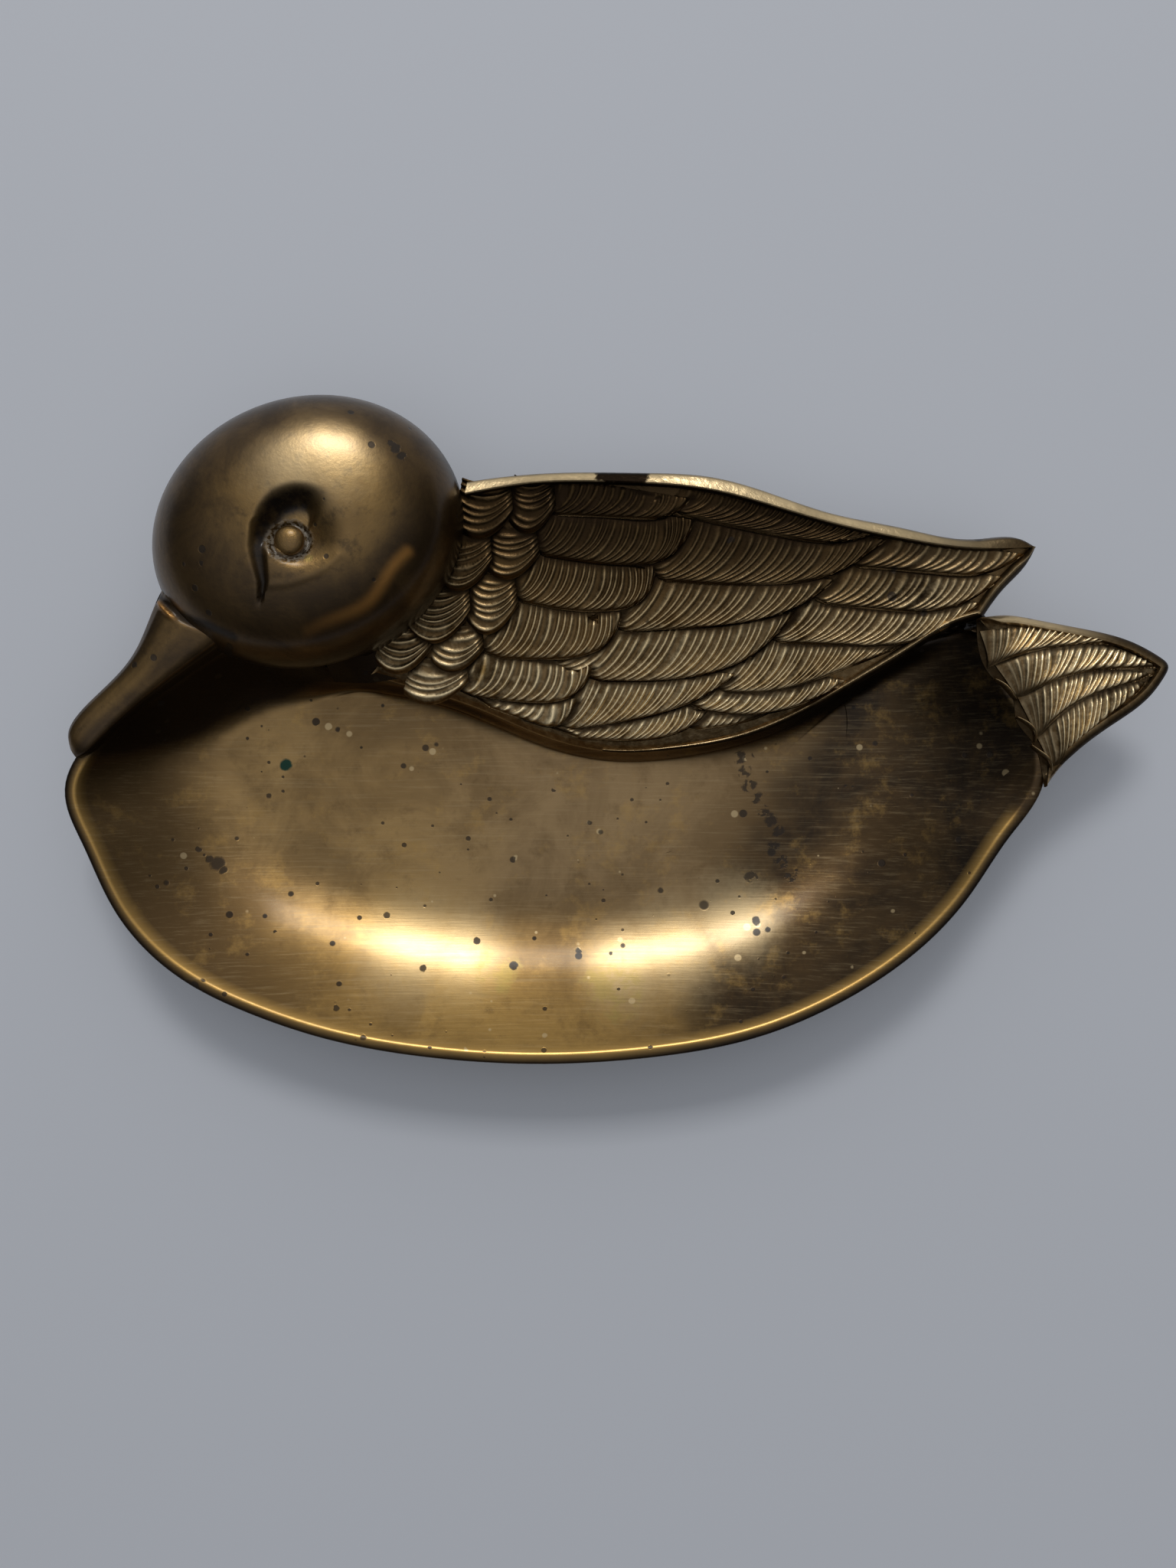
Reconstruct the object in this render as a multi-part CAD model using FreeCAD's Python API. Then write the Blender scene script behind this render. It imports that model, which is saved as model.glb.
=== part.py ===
import FreeCAD, Part
import math
import os

from FreeCAD import Placement, Rotation, Vector

# A cast-brass dish in the shape of a resting duck. The origin is the centre of its flat foot, on the
# table, with +X towards the tail and +Z up. The bill and head are at -X and +Y.

# Dish: the bowl, its rim, and the flat land that carries head, bill and tail
bowl_length = 171.0
bowl_width = 100.0
rim_height = 17.0
rim_width = 2.2
rim_round = 0.7
lip_share = 0.84
floor_thickness = 3.0
foot_margin = 1.1
land_thickness = 2.0
land_inset = 0.5
land_width = 3.2
neck_length = 17.0
neck_past = 4.0
cut_overrun = 6.0

# Wing: a plate on the sloping bank, seen in its own frame with its front end at the origin
wing_length_share = 0.573
wing_width_share = 0.52
wing_front_shares = (-0.0994, 0.585)
wing_yaw = -6.0
wing_tilt = 15.5
wing_plate = 1.7
feather_sink = 0.7
wing_rim_height = 3.6
wing_clearance = 0.2
bank_thickness = 1.8
bank_inset = 0.8
feather_tip_lift = 0.6
feather_side_lift = 0.5
scale_radius = 4.3
scale_thickness = 1.6
scale_sink = 0.8
scale_tilt = 7.0

# Tail: a plate on the rim past the bowl's right end
tail_length_share = 0.193
tail_width_share = 0.29
tail_start_shares = (0.4135, 0.342)
tail_plate = 1.8
tail_step = 0.6
tail_seat_share = 0.55

# Head: a hollow dome with the eye's socket sunk into it
head_shares = (-0.2544, 0.484)
head_long_radius = 26.6
head_short_radius = 21.8
head_rise = 17.0
head_yaw = 21.8
head_wall = 2.6
crown_shift = 3.0
socket_offset_x = 1.5
socket_offset_y = -2.9
socket_radius = 7.6
socket_depth = 2.6
tear_offset_x = -3.5
tear_offset_y = -9.8
tear_radius = 3.4
tear_depth = 1.6

# Eye: a pin with a domed head
eye_offset_x = -0.3
eye_offset_y = -3.6
eye_radius = 2.45
eye_dome = 1.5
shank_radius = 1.5
shank_clearance = 0.05
shank_past_wall = 1.0

# Bill: sections from its root in the forehead to its tip at the rim
bill_root_shares = (-0.345, 0.375)
bill_tip_shares = (-0.4947, 0.127)
bill_width = 15.0
bill_height = 9.0

# What follows the bowl's own size
wing_length = bowl_length * wing_length_share
wing_width = bowl_width * wing_width_share
tail_length = bowl_length * tail_length_share
tail_width = bowl_width * tail_width_share

# The bowl's opening at the rim, from the bill's tip round the belly, the tail's root, the wing's
# lower edge and the chin, as shares of the bowl's length and width
opening_shares = [
    (-0.478, 0.104), (-0.490, 0.058), (-0.475, -0.028), (-0.441, -0.148), (-0.386, -0.247),
    (-0.316, -0.310), (-0.233, -0.357), (-0.136, -0.386), (-0.030, -0.397), (0.083, -0.386),
    (0.188, -0.352), (0.269, -0.294), (0.337, -0.218), (0.390, -0.126), (0.435, -0.014),
    (0.466, 0.070), (0.455, 0.172), (0.430, 0.242), (0.416, 0.312),
    (0.369, 0.316), (0.305, 0.253), (0.244, 0.196), (0.178, 0.153), (0.111, 0.133),
    (0.046, 0.129), (-0.028, 0.157), (-0.100, 0.208), (-0.144, 0.234), (-0.192, 0.250),
    (-0.228, 0.262), (-0.275, 0.285), (-0.337, 0.289), (-0.382, 0.244), (-0.416, 0.204),
    (-0.456, 0.149)]

# The flat of the bowl's floor, point for point with the opening
floor_shares = [
    (-0.362, 0.112), (-0.350, 0.080), (-0.333, 0.036), (-0.302, -0.022), (-0.258, -0.068),
    (-0.204, -0.100), (-0.145, -0.119), (-0.080, -0.131), (-0.010, -0.138), (0.064, -0.133),
    (0.134, -0.115), (0.193, -0.083), (0.235, -0.046), (0.266, -0.002), (0.282, 0.044),
    (0.291, 0.084), (0.295, 0.130), (0.298, 0.170), (0.295, 0.205),
    (0.287, 0.205), (0.262, 0.190), (0.228, 0.160), (0.173, 0.128), (0.109, 0.108),
    (0.046, 0.104), (-0.029, 0.133), (-0.102, 0.185), (-0.146, 0.210), (-0.193, 0.225),
    (-0.226, 0.230), (-0.274, 0.206), (-0.310, 0.186), (-0.335, 0.166), (-0.351, 0.150),
    (-0.360, 0.132)]

# How far out and how far up the wall each ring of the bowl lies, from the floor to the rim
wall_shares = [
    (0.0, 0.0), (0.12, 0.02), (0.25, 0.08), (0.38, 0.17), (0.50, 0.28), (0.62, 0.42), (0.75, 0.60),
    (0.88, 0.80), (1.0, 1.0)]

# One more ring past the rim, for the cut that opens the bowl
past_rim_shares = (1.05, 1.10)

# The rings of the head's dome, from its edge to its crown, and the steps of the hollow under it:
# how far out and how high each lies
dome_shares = [
    (1.0, 0.0), (0.99, 0.23), (0.95, 0.46), (0.87, 0.66), (0.75, 0.82), (0.58, 0.94), (0.36, 1.0)]
hollow_shares = [(1.0, 0.42), (0.86, 0.66), (0.60, 1.0)]

# The wing's edges, as shares of its length and width
wing_rim_shares = [
    (0.003, -0.012), (0.049, 0.009), (0.158, 0.046), (0.305, 0.074), (0.424, 0.083), (0.510, 0.059),
    (0.639, 0.008), (0.768, -0.015), (0.896, -0.025), (0.969, -0.010), (0.994, -0.028)]
wing_rim_inner_shares = [
    (0.994, -0.028), (0.899, -0.052), (0.772, -0.047), (0.599, -0.009), (0.418, 0.045),
    (0.270, 0.039), (0.104, 0.002), (0.003, -0.050)]
wing_tip_shares = [(0.994, -0.028), (0.989, -0.073), (0.956, -0.172), (0.927, -0.279)]
wing_lower_shares = [
    (0.927, -0.279), (0.885, -0.312), (0.829, -0.393), (0.732, -0.538), (0.637, -0.669),
    (0.529, -0.777), (0.415, -0.838), (0.302, -0.870), (0.170, -0.839), (0.040, -0.762),
    (-0.060, -0.722), (-0.150, -0.690)]
wing_breast_shares = [
    (-0.150, -0.690), (-0.152, -0.629), (-0.106, -0.525), (-0.053, -0.389), (-0.022, -0.251),
    (-0.006, -0.138), (0.003, -0.012)]

# The long feathers, row by row from the rim down: the lower edge of each from root to tip, as shares
feather_shares = [
    [(0.164, -0.090), (0.280, -0.077), (0.364, -0.046), (0.394, 0.009)],
    [(0.385, -0.052), (0.541, -0.081), (0.667, -0.076), (0.736, -0.028)],
    [(0.698, -0.155), (0.827, -0.150), (0.919, -0.119), (0.972, -0.051)],
    [(0.148, -0.225), (0.268, -0.231), (0.373, -0.173), (0.405, -0.058)],
    [(0.364, -0.266), (0.534, -0.245), (0.656, -0.183), (0.740, -0.054)],
    [(0.650, -0.288), (0.766, -0.285), (0.864, -0.246), (0.937, -0.166)],
    [(0.117, -0.385), (0.250, -0.390), (0.332, -0.323), (0.348, -0.218)],
    [(0.309, -0.448), (0.469, -0.395), (0.605, -0.299), (0.663, -0.202)],
    [(0.581, -0.430), (0.689, -0.416), (0.805, -0.388), (0.895, -0.262)],
    [(0.085, -0.581), (0.188, -0.563), (0.276, -0.488), (0.298, -0.380)],
    [(0.268, -0.624), (0.399, -0.592), (0.536, -0.478), (0.602, -0.320)],
    [(0.495, -0.618), (0.582, -0.595), (0.683, -0.511), (0.805, -0.388)],
    [(0.039, -0.723), (0.143, -0.724), (0.224, -0.678), (0.257, -0.576)],
    [(0.228, -0.803), (0.346, -0.739), (0.451, -0.645), (0.513, -0.551)],
    [(0.461, -0.689), (0.551, -0.684), (0.637, -0.626), (0.712, -0.532)],
    [(0.075, -0.767), (0.160, -0.790), (0.243, -0.773), (0.280, -0.685)],
    [(0.248, -0.818), (0.369, -0.783), (0.463, -0.720), (0.501, -0.667)]]

# The small scale feathers behind the head, as shares
scale_shares = [
    (0.124, -0.078), (0.043, -0.108), (0.097, -0.237), (0.013, -0.276), (0.069, -0.410),
    (-0.024, -0.449), (0.013, -0.575), (-0.074, -0.586), (-0.022, -0.675)]

# The tail's edges and the lower edges of its three upper feathers, as shares of its length and width
tail_top_shares = [
    (-0.020, 0.005), (0.120, 0.022), (0.255, 0.000), (0.509, -0.055), (0.764, -0.131), (0.976, -0.266)]
tail_under_shares = [
    (0.976, -0.266), (0.852, -0.466), (0.679, -0.614), (0.509, -0.755), (0.390, -0.890), (0.330, -0.985)]
tail_root_shares = [
    (0.330, -0.985), (0.345, -0.900), (0.273, -0.721), (0.179, -0.572), (0.170, -0.470),
    (0.067, -0.348), (-0.010, -0.180), (-0.020, 0.005)]
tail_feather_shares = [
    [(-0.060, -0.190), (0.115, -0.241), (0.421, -0.162), (0.851, -0.207), (0.990, -0.262)],
    [(0.020, -0.420), (0.194, -0.438), (0.594, -0.300), (0.882, -0.293), (0.990, -0.268)],
    [(0.130, -0.640), (0.364, -0.566), (0.594, -0.438), (0.836, -0.341), (0.990, -0.272)]]

# Where the bill's sections lie along it, and how wide and high each is
bill_section_shares = [
    (0.0, 1.0, 1.0), (0.22, 0.86, 0.86), (0.48, 0.54, 0.62), (0.72, 0.46, 0.46), (0.90, 0.42, 0.38),
    (0.985, 0.26, 0.24)]
bill_profile_shares = [
    (-0.5, 0.0), (-0.48, 0.40), (-0.36, 0.78), (-0.16, 0.97), (0.16, 0.97), (0.36, 0.78), (0.48, 0.40),
    (0.5, 0.0)]


def places(shares, length, width, height=0.0):
    return [Vector(x * length, y * width, height) for x, y in shares]


def bowl_place(shares, height=0.0):
    return Vector(shares[0] * bowl_length, shares[1] * bowl_width, height)


def head_place(offset_x, offset_y, height):
    return bowl_place(head_shares) + Vector(offset_x, offset_y, height)


def spline_edge(points):
    curve = Part.BSplineCurve()
    curve.interpolate(points)
    return curve.toShape()


def closed_wire(points):
    curve = Part.BSplineCurve()
    curve.interpolate(Points=points, PeriodicFlag=True)
    return Part.Wire([curve.toShape()])


def grown(points, distance):
    """Moves each point of a counter-clockwise outline outwards by a distance."""
    moved = []
    for i, point in enumerate(points):
        along = points[(i + 1) % len(points)] - points[i - 1]
        outward = Vector(along.y, -along.x, 0).normalize()
        moved.append(point + outward * distance)
    return moved


def ring(inner, outer, share, height):
    """One outline between two others, at a height."""
    points = []
    for a, b in zip(inner, outer):
        point = a + (b - a) * share
        points.append(Vector(point.x, point.y, height))
    return points


def slab(wire, bottom, height):
    solid = Part.Face(wire).extrude(Vector(0, 0, height))
    solid.translate(Vector(0, 0, bottom))
    return solid


def wing_frame(shape):
    """Lays a shape that was made flat onto the sloping bank."""
    turn = Rotation(Vector(0, 0, 1), wing_yaw).multiply(Rotation(Vector(1, 0, 0), wing_tilt))
    place = Placement(bowl_place(wing_front_shares, rim_height), turn)
    shape.Placement = place.multiply(shape.Placement)
    return shape


def wing_wire(inset):
    """The wing's outline, drawn in by an inset."""
    corners = [wing_rim_shares, wing_tip_shares, wing_lower_shares, wing_breast_shares]
    outline = []
    for shares in corners:
        outline += places(shares, wing_length, wing_width)[:-1]
    outline = list(reversed(outline))
    moved = list(reversed(grown(outline, -inset)))
    edges = []
    start = 0
    for shares in corners:
        stop = start + len(shares) - 1
        edges.append(spline_edge([moved[i % len(moved)] for i in range(start, stop + 1)]))
        start = stop
    return Part.Wire(edges)


def oval_wire(inset, share, lift, shift):
    """One of the head's level outlines, turned as the head is."""
    center = head_place(0, shift, rim_height + lift)
    long_radius = (head_long_radius - inset) * share
    short_radius = (head_short_radius - inset) * share
    edge = Part.Ellipse(Vector(0, 0, 0), long_radius, short_radius).toShape()
    edge.Placement = Placement(center, Rotation(Vector(0, 0, 1), head_yaw))
    return Part.Wire([edge])


def head_dome():
    wires = []
    for out, up in dome_shares:
        wires.append(oval_wire(0, out, up * head_rise, up * up * crown_shift))
    return Part.makeLoft(wires, True, True)


def head_hollow():
    """The stepped room under the dome, which leaves an even wall."""
    rise = head_rise - head_wall - socket_depth
    steps = []
    for out, up in hollow_shares:
        steps.append(slab(oval_wire(head_wall, out, 0, up * up * crown_shift), 0, up * rise))
    return steps[0].multiFuse(steps[1:])


def ball_radius(radius, depth):
    """The ball whose cap has this radius and depth."""
    return (radius ** 2 + depth ** 2) / (depth + depth)


def cap_cut(offset_x, offset_y, radius, depth):
    """A ball that sinks a round hollow into the crown."""
    ball = ball_radius(radius, depth)
    return Part.makeSphere(ball, head_place(offset_x, offset_y, rim_height + head_rise + ball - depth))


def bill_solid():
    root = bowl_place(bill_root_shares, rim_height)
    tip = bowl_place(bill_tip_shares, rim_height)
    along = tip - root
    across = Vector(0, 0, 1).cross(along).normalize()
    wires = []
    for place, width, height in bill_section_shares:
        center = root + along * place
        points = []
        for side, up in bill_profile_shares:
            lift = Vector(0, 0, up * height * bill_height)
            points.append(center + across * (side * width * bill_width) + lift)
        wires.append(Part.makePolygon(points + points[:1]))
    return Part.makeLoft(wires, True, True)


def tail_wire(share=1.0):
    """The tail's outline, or a smaller one with the same start."""
    edges = []
    for shares in (tail_top_shares, tail_under_shares, tail_root_shares):
        points = places(shares, tail_length * share, tail_width * share)
        edges.append(spline_edge(points))
    return Part.Wire(edges)


def tail_place(shape):
    shape.translate(bowl_place(tail_start_shares))
    return shape


def head_land(bottom, height):
    """The flat band that the head's edge lies on, open inside as the head is."""
    layers = []
    for inset in (land_inset, land_inset + land_width):
        layers.append(slab(oval_wire(inset, 1, -rim_height, 0), bottom, height))
    return layers[0].cut(layers[1])


def neck_wall():
    """Closes the step from the head's edge down to the wing's bank and the bowl."""
    room = Part.makeBox(neck_length + neck_past, wing_width, rim_height,
                        Vector(-neck_length, -wing_width, -bank_thickness))
    return head_land(0, rim_height).common(wing_frame(room))


def make_dish():
    opening = places(opening_shares, bowl_length, bowl_width)
    flat = places(floor_shares, bowl_length, bowl_width)
    outside = grown(opening, rim_width)
    foot = grown(flat, foot_margin)
    shoulder = rim_height - rim_round
    outer_wires = [closed_wire(ring(foot, outside, out, up * shoulder)) for out, up in wall_shares]
    solid = Part.makeLoft(outer_wires, True, True)
    lip = [closed_wire(ring(foot, outside, 1, shoulder)),
           closed_wire(ring(opening, outside, lip_share, rim_height))]
    solid = solid.fuse(Part.makeLoft(lip, True, True))

    bottom = rim_height - land_thickness
    solid = solid.fuse(head_land(bottom, land_thickness))
    solid = solid.fuse(neck_wall())
    bill_land = bill_solid().slice(Vector(0, 0, 1), rim_height + land_inset)[0]
    solid = solid.fuse(slab(bill_land, -land_inset - land_thickness, land_thickness))
    tail_land = tail_place(slab(tail_wire(tail_seat_share), bottom, land_thickness))
    solid = solid.fuse(tail_land)
    solid = solid.fuse(wing_frame(slab(wing_wire(bank_inset), -bank_thickness, bank_thickness)))

    depth = rim_height - floor_thickness
    inner_wires = []
    for out, up in wall_shares + [past_rim_shares]:
        inner_wires.append(closed_wire(ring(flat, opening, out, floor_thickness + up * depth)))
    solid = solid.cut(Part.makeLoft(inner_wires, True, True))
    wing_room = wing_frame(slab(wing_wire(-wing_clearance), 0, rim_height + cut_overrun))
    return solid.cut(wing_room)


def make_wing():
    outline = wing_wire(0)
    plate = slab(outline, 0, wing_plate)
    rim_edges = [spline_edge(places(wing_rim_shares, wing_length, wing_width)),
                 spline_edge(places(wing_rim_inner_shares, wing_length, wing_width))]
    first = rim_edges[1].Vertexes[-1].Point
    last = rim_edges[0].Vertexes[0].Point
    rim_edges.append(Part.makeLine(first, last))
    tiles = [slab(Part.Wire(rim_edges), 0, wing_rim_height)]
    for shares in feather_shares:
        tiles.append(feather_tile(places(shares, wing_length, wing_width)))
    for x, y in scale_shares:
        tiles.append(scale_tile(x * wing_length, y * wing_width))
    wing = plate.multiFuse(tiles)
    wing = wing.common(slab(outline, 0, wing_rim_height))
    wing = wing_frame(wing.removeSplitter())
    return wing.cut(head_dome())


def feather_tile(edge):
    """One long feather: its tip and its lower edge stand up over the feathers beside it."""
    corner = Vector(edge[0].x, edge[-1].y, 0)
    wire = Part.Wire([spline_edge(edge), Part.makeLine(edge[-1], corner), Part.makeLine(corner, edge[0])])
    length = edge[-1].x - edge[0].x
    width = edge[-1].y - min(point.y for point in edge)
    tile = slab(wire, feather_sink, wing_plate - feather_sink)
    pitch = math.degrees(math.atan2(feather_tip_lift, length))
    roll = math.degrees(math.atan2(feather_side_lift, width))
    tile.rotate(corner, Vector(0, 1, 0), -pitch)
    tile.rotate(corner, Vector(1, 0, 0), -roll)
    return tile


def scale_tile(x, y):
    """One small round feather, with its lower right edge standing up."""
    tile = Part.makeCylinder(scale_radius, scale_thickness, Vector(x, y, wing_plate - scale_sink))
    middle = Vector(x, y, wing_plate)
    tile.rotate(middle, Vector(1, 1, 0), -scale_tilt)
    return tile


def make_tail():
    wire = tail_wire()
    tail = slab(wire, rim_height, tail_plate)
    for rank, shares in enumerate(tail_feather_shares):
        points = places(shares, tail_length, tail_width)
        over = Vector(points[-1].x, tail_width, 0)
        back = Vector(points[0].x, tail_width, 0)
        edges = [spline_edge(points), Part.makeLine(points[-1], over), Part.makeLine(over, back),
                 Part.makeLine(back, points[0])]
        height = tail_plate + tail_step * (len(tail_feather_shares) - rank)
        tail = tail.fuse(slab(Part.Wire(edges), rim_height, height))
    tallest = tail_plate + tail_step * len(tail_feather_shares)
    tail = tail.common(slab(wire, rim_height, tallest)).removeSplitter()
    tail = tail_place(tail)
    wing_room = wing_frame(slab(wing_wire(-wing_clearance), -bank_thickness,
                                bank_thickness + wing_rim_height + cut_overrun))
    return tail.cut(wing_room)


def make_head():
    head = head_dome().cut(head_hollow())
    head = head.cut(cap_cut(socket_offset_x, socket_offset_y, socket_radius, socket_depth))
    head = head.cut(cap_cut(tear_offset_x, tear_offset_y, tear_radius, tear_depth))
    return head.cut(eye_seat())


def eye_place(rise=0.0):
    """The flat at the bottom of the socket that the eye's head lies on, or a place above it."""
    return head_place(eye_offset_x, eye_offset_y, rim_height + head_rise - socket_depth + rise)


def eye_seat():
    spot = Part.makeCylinder(eye_radius + shank_clearance, cut_overrun, eye_place())
    bore = Part.makeCylinder(shank_radius + shank_clearance, head_rise, eye_place(-head_rise))
    return spot.fuse(bore)


def make_eye():
    ball = ball_radius(eye_radius, eye_dome)
    dome = Part.makeSphere(ball, eye_place(eye_dome - ball))
    dome = dome.common(Part.makeCylinder(eye_radius, eye_dome + eye_dome, eye_place()))
    length = head_wall + shank_past_wall
    return dome.fuse(Part.makeCylinder(shank_radius, length, eye_place(-length)))


def make_bill():
    return bill_solid().cut(head_dome())


os.makedirs("parts", exist_ok=True)
makers = {"dish": make_dish, "wing": make_wing, "tail": make_tail, "head": make_head, "bill": make_bill,
          "eye": make_eye}
for name, maker in makers.items():
    shape = maker()
    if len(shape.Solids) == 1:
        shape = shape.Solids[0]
    print(name, "solids", len(shape.Solids), "valid", shape.isValid(), "volume", round(shape.Volume),
          "box", [round(v, 1) for v in (shape.BoundBox.XMin, shape.BoundBox.YMin, shape.BoundBox.ZMin,
                                        shape.BoundBox.XMax, shape.BoundBox.YMax, shape.BoundBox.ZMax)])
    shape.exportStep("parts/" + name + ".step")
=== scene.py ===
import math
import bpy
import numpy as np
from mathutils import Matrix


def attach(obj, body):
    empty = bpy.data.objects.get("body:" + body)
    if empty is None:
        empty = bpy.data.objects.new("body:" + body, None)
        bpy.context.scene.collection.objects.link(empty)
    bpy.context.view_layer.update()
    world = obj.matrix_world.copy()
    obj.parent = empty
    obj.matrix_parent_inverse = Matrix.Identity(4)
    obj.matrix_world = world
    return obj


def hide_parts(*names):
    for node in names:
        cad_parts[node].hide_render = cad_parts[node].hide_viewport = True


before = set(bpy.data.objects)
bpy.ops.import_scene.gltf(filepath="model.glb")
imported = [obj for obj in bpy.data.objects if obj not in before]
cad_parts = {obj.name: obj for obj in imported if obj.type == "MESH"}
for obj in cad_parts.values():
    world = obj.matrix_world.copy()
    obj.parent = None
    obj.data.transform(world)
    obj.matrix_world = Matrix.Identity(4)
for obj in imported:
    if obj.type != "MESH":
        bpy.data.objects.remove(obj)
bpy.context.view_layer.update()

millimetre = 0.001

# The camera looks straight down; the picture is 1536 by 2048
view = {"x": 3.66, "y": 6.17, "height": 223.0, "middleX": 768, "middleY": 1024,
        "perPixel": 0.13085, "measuredAt": 17.0, "wide": 1536}


def atPixel(px, py, height):
    # the place in millimetres that a pixel of the picture shows, at a height over the table
    scale = view["perPixel"] * (view["height"] - height) / (view["height"] - view["measuredAt"])
    return np.array([(px - view["middleX"]) * scale + view["x"],
                     (view["middleY"] - py) * scale + view["y"], height])


def spline(points, knots=None, closed=False):
    # a smooth curve through points, as a function of its knots
    points = np.array(points, dtype=float)
    if closed:
        points = np.vstack([points, points[:1]])
    if knots is None:
        steps = np.linalg.norm(np.diff(points, axis=0), axis=1)
        knots = np.concatenate([[0], np.cumsum(steps)])
        knots = knots / knots[-1]
    gaps = np.diff(knots)
    slopes = np.diff(points, axis=0) / gaps[:, None]
    count = len(points)
    system = np.zeros((count, count))
    right = np.zeros_like(points)
    for i in range(1, count - 1):
        system[i, i - 1:i + 2] = gaps[i - 1], 2 * (gaps[i - 1] + gaps[i]), gaps[i]
        right[i] = 6 * (slopes[i] - slopes[i - 1])
    if closed:
        system[0, 0], system[0, 1], system[0, -2] = 2 * (gaps[0] + gaps[-1]), gaps[0], gaps[-1]
        right[0] = 6 * (slopes[0] - slopes[-1])
        system[-1, 0], system[-1, -1] = 1, -1
    else:
        system[0, 0] = system[-1, -1] = 1
    bends = np.linalg.solve(system, right)

    def at(values):
        values = np.clip(np.atleast_1d(values).astype(float), 0, 1)
        spot = np.clip(np.searchsorted(knots, values, side="right") - 1, 0, count - 2)
        gap = gaps[spot][:, None]
        after = (values - knots[spot])[:, None] / gap
        before = 1 - after
        bend = (before ** 3 - before) * bends[spot] + (after ** 3 - after) * bends[spot + 1]
        return before * points[spot] + after * points[spot + 1] + bend * gap ** 2 / 6

    at.knots = knots
    return at


def alongShares(shares, size, count, until=1.0, last=True):
    # points along a smooth line that is given in shares of a size
    return spline(np.array(shares) * size)(np.linspace(0, until, count, endpoint=last))


def pixelLine(pixels, height, count=0):
    # a line through pixels of the picture at one height, smoothed if a count of points is given
    line = np.array([atPixel(*pixel, height) for pixel in pixels])
    return spline(line)(np.linspace(0, 1, count)) if count else line


def easeIn(value, low=0.0, high=1.0):
    # from 0 to 1 between two values, with no corner
    value = np.clip((np.asarray(value, dtype=float) - low) / (high - low), 0, 1)
    return value * value * (3 - 2 * value)


def outwards(line):
    # the level directions that point out of a closed line
    along = np.roll(line, -1, axis=0) - np.roll(line, 1, axis=0)
    side = np.column_stack([along[:, 1], -along[:, 0]])
    side /= np.linalg.norm(side, axis=1)[:, None]
    area = np.sum(line[:, 0] * np.roll(line[:, 1], -1) - line[:, 1] * np.roll(line[:, 0], -1))
    return side if area > 0 else -side


def lineDistance(points, line):
    # how far each point lies from an open line, in plan
    points = points[:, None, :2]
    start, step = line[:-1, :2], np.diff(line[:, :2], axis=0)
    share = np.sum((points - start) * step, axis=2) / np.sum(step * step, axis=1)
    near = start + np.clip(share, 0, 1)[:, :, None] * step
    return np.min(np.linalg.norm(points - near, axis=2), axis=1)


def isInside(points, line):
    # whether each point lies inside a closed line, in plan
    x, y = points[:, 0][:, None], points[:, 1][:, None]
    x0, y0 = line[:, 0], line[:, 1]
    x1, y1 = np.roll(x0, -1), np.roll(y0, -1)
    crosses = (y0 > y) != (y1 > y)
    where = x0 + (y - y0) * (x1 - x0) / np.where(y1 == y0, 1e-9, y1 - y0)
    return np.sum(crosses & (x < where), axis=1) % 2 == 1


def inset(line, distance, share=0.8):
    # draws a closed line inwards, by less where it is narrow, so that it never crosses itself
    inwards = -outwards(line)
    gap = line[None, :, :] - line[:, None, :]
    ahead = np.sum(gap * inwards[:, None, :], axis=2)
    room = np.where(ahead > 1e-6, np.sum(gap * gap, axis=2) / np.maximum(2 * ahead, 1e-6), 1e9)
    room = np.min(room, axis=1) * share
    for _ in range(4):
        room = np.minimum(room, (np.roll(room, 1) + np.roll(room, -1)) / 2 + 0.05)
    return line + inwards * np.minimum(distance, room)[:, None]


class Shell:
    # points and faces of one closed form, with numbers kept at its points
    def __init__(self, points, faces, marks=None):
        self.points = np.array(points, dtype=float)
        self.faces = [tuple(int(i) for i in face) for face in faces]
        self.marks = marks or {}

    def volume(self):
        total = 0.0
        for face in self.faces:
            a = self.points[face[0]]
            for i in range(1, len(face) - 1):
                total += np.dot(a, np.cross(self.points[face[i]], self.points[face[i + 1]]))
        return total

    def facedOut(self):
        if self.volume() < 0:
            self.faces = [face[::-1] for face in self.faces]
        return self


def ringShell(rings, marks=None, pole=True):
    # rings of equally many points, joined in order, and closed at both ends
    count = len(rings[0])
    points = np.vstack(rings)
    faces = []
    for level in range(len(rings) - 1):
        low = level * count
        for i in range(count):
            after = (i + 1) % count
            faces.append((low + i, low + after, low + count + after, low + count + i))
    last = (len(rings) - 1) * count
    marks = marks or {}
    if pole:
        points = np.vstack([points, np.mean(rings[0], axis=0), np.mean(rings[-1], axis=0)])
        for i in range(count):
            after = (i + 1) % count
            faces.append((len(points) - 2, after, i))
            faces.append((len(points) - 1, last + i, last + after))
        marks = {name: np.append(values, [values[0], values[-1]]) for name, values in marks.items()}
    else:
        faces.append(tuple(range(count))[::-1])
        faces.append(tuple(range(last, last + count)))
    return Shell(points, faces, marks).facedOut()


def sweep(line, rows, high, wide):
    # a strip along a line: rows of (share across, share up), its height and width at each point
    along = np.gradient(line, axis=0)
    inward = np.column_stack([along[:, 1], -along[:, 0]]) / np.linalg.norm(along, axis=1)[:, None]
    rings = []
    for i in range(len(line)):
        rings.append(np.array([[*(line[i] + inward[i] * wide[i] * across), high[i] * up]
                               for across, up in rows]))
    return ringShell(rings, pole=False)


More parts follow.
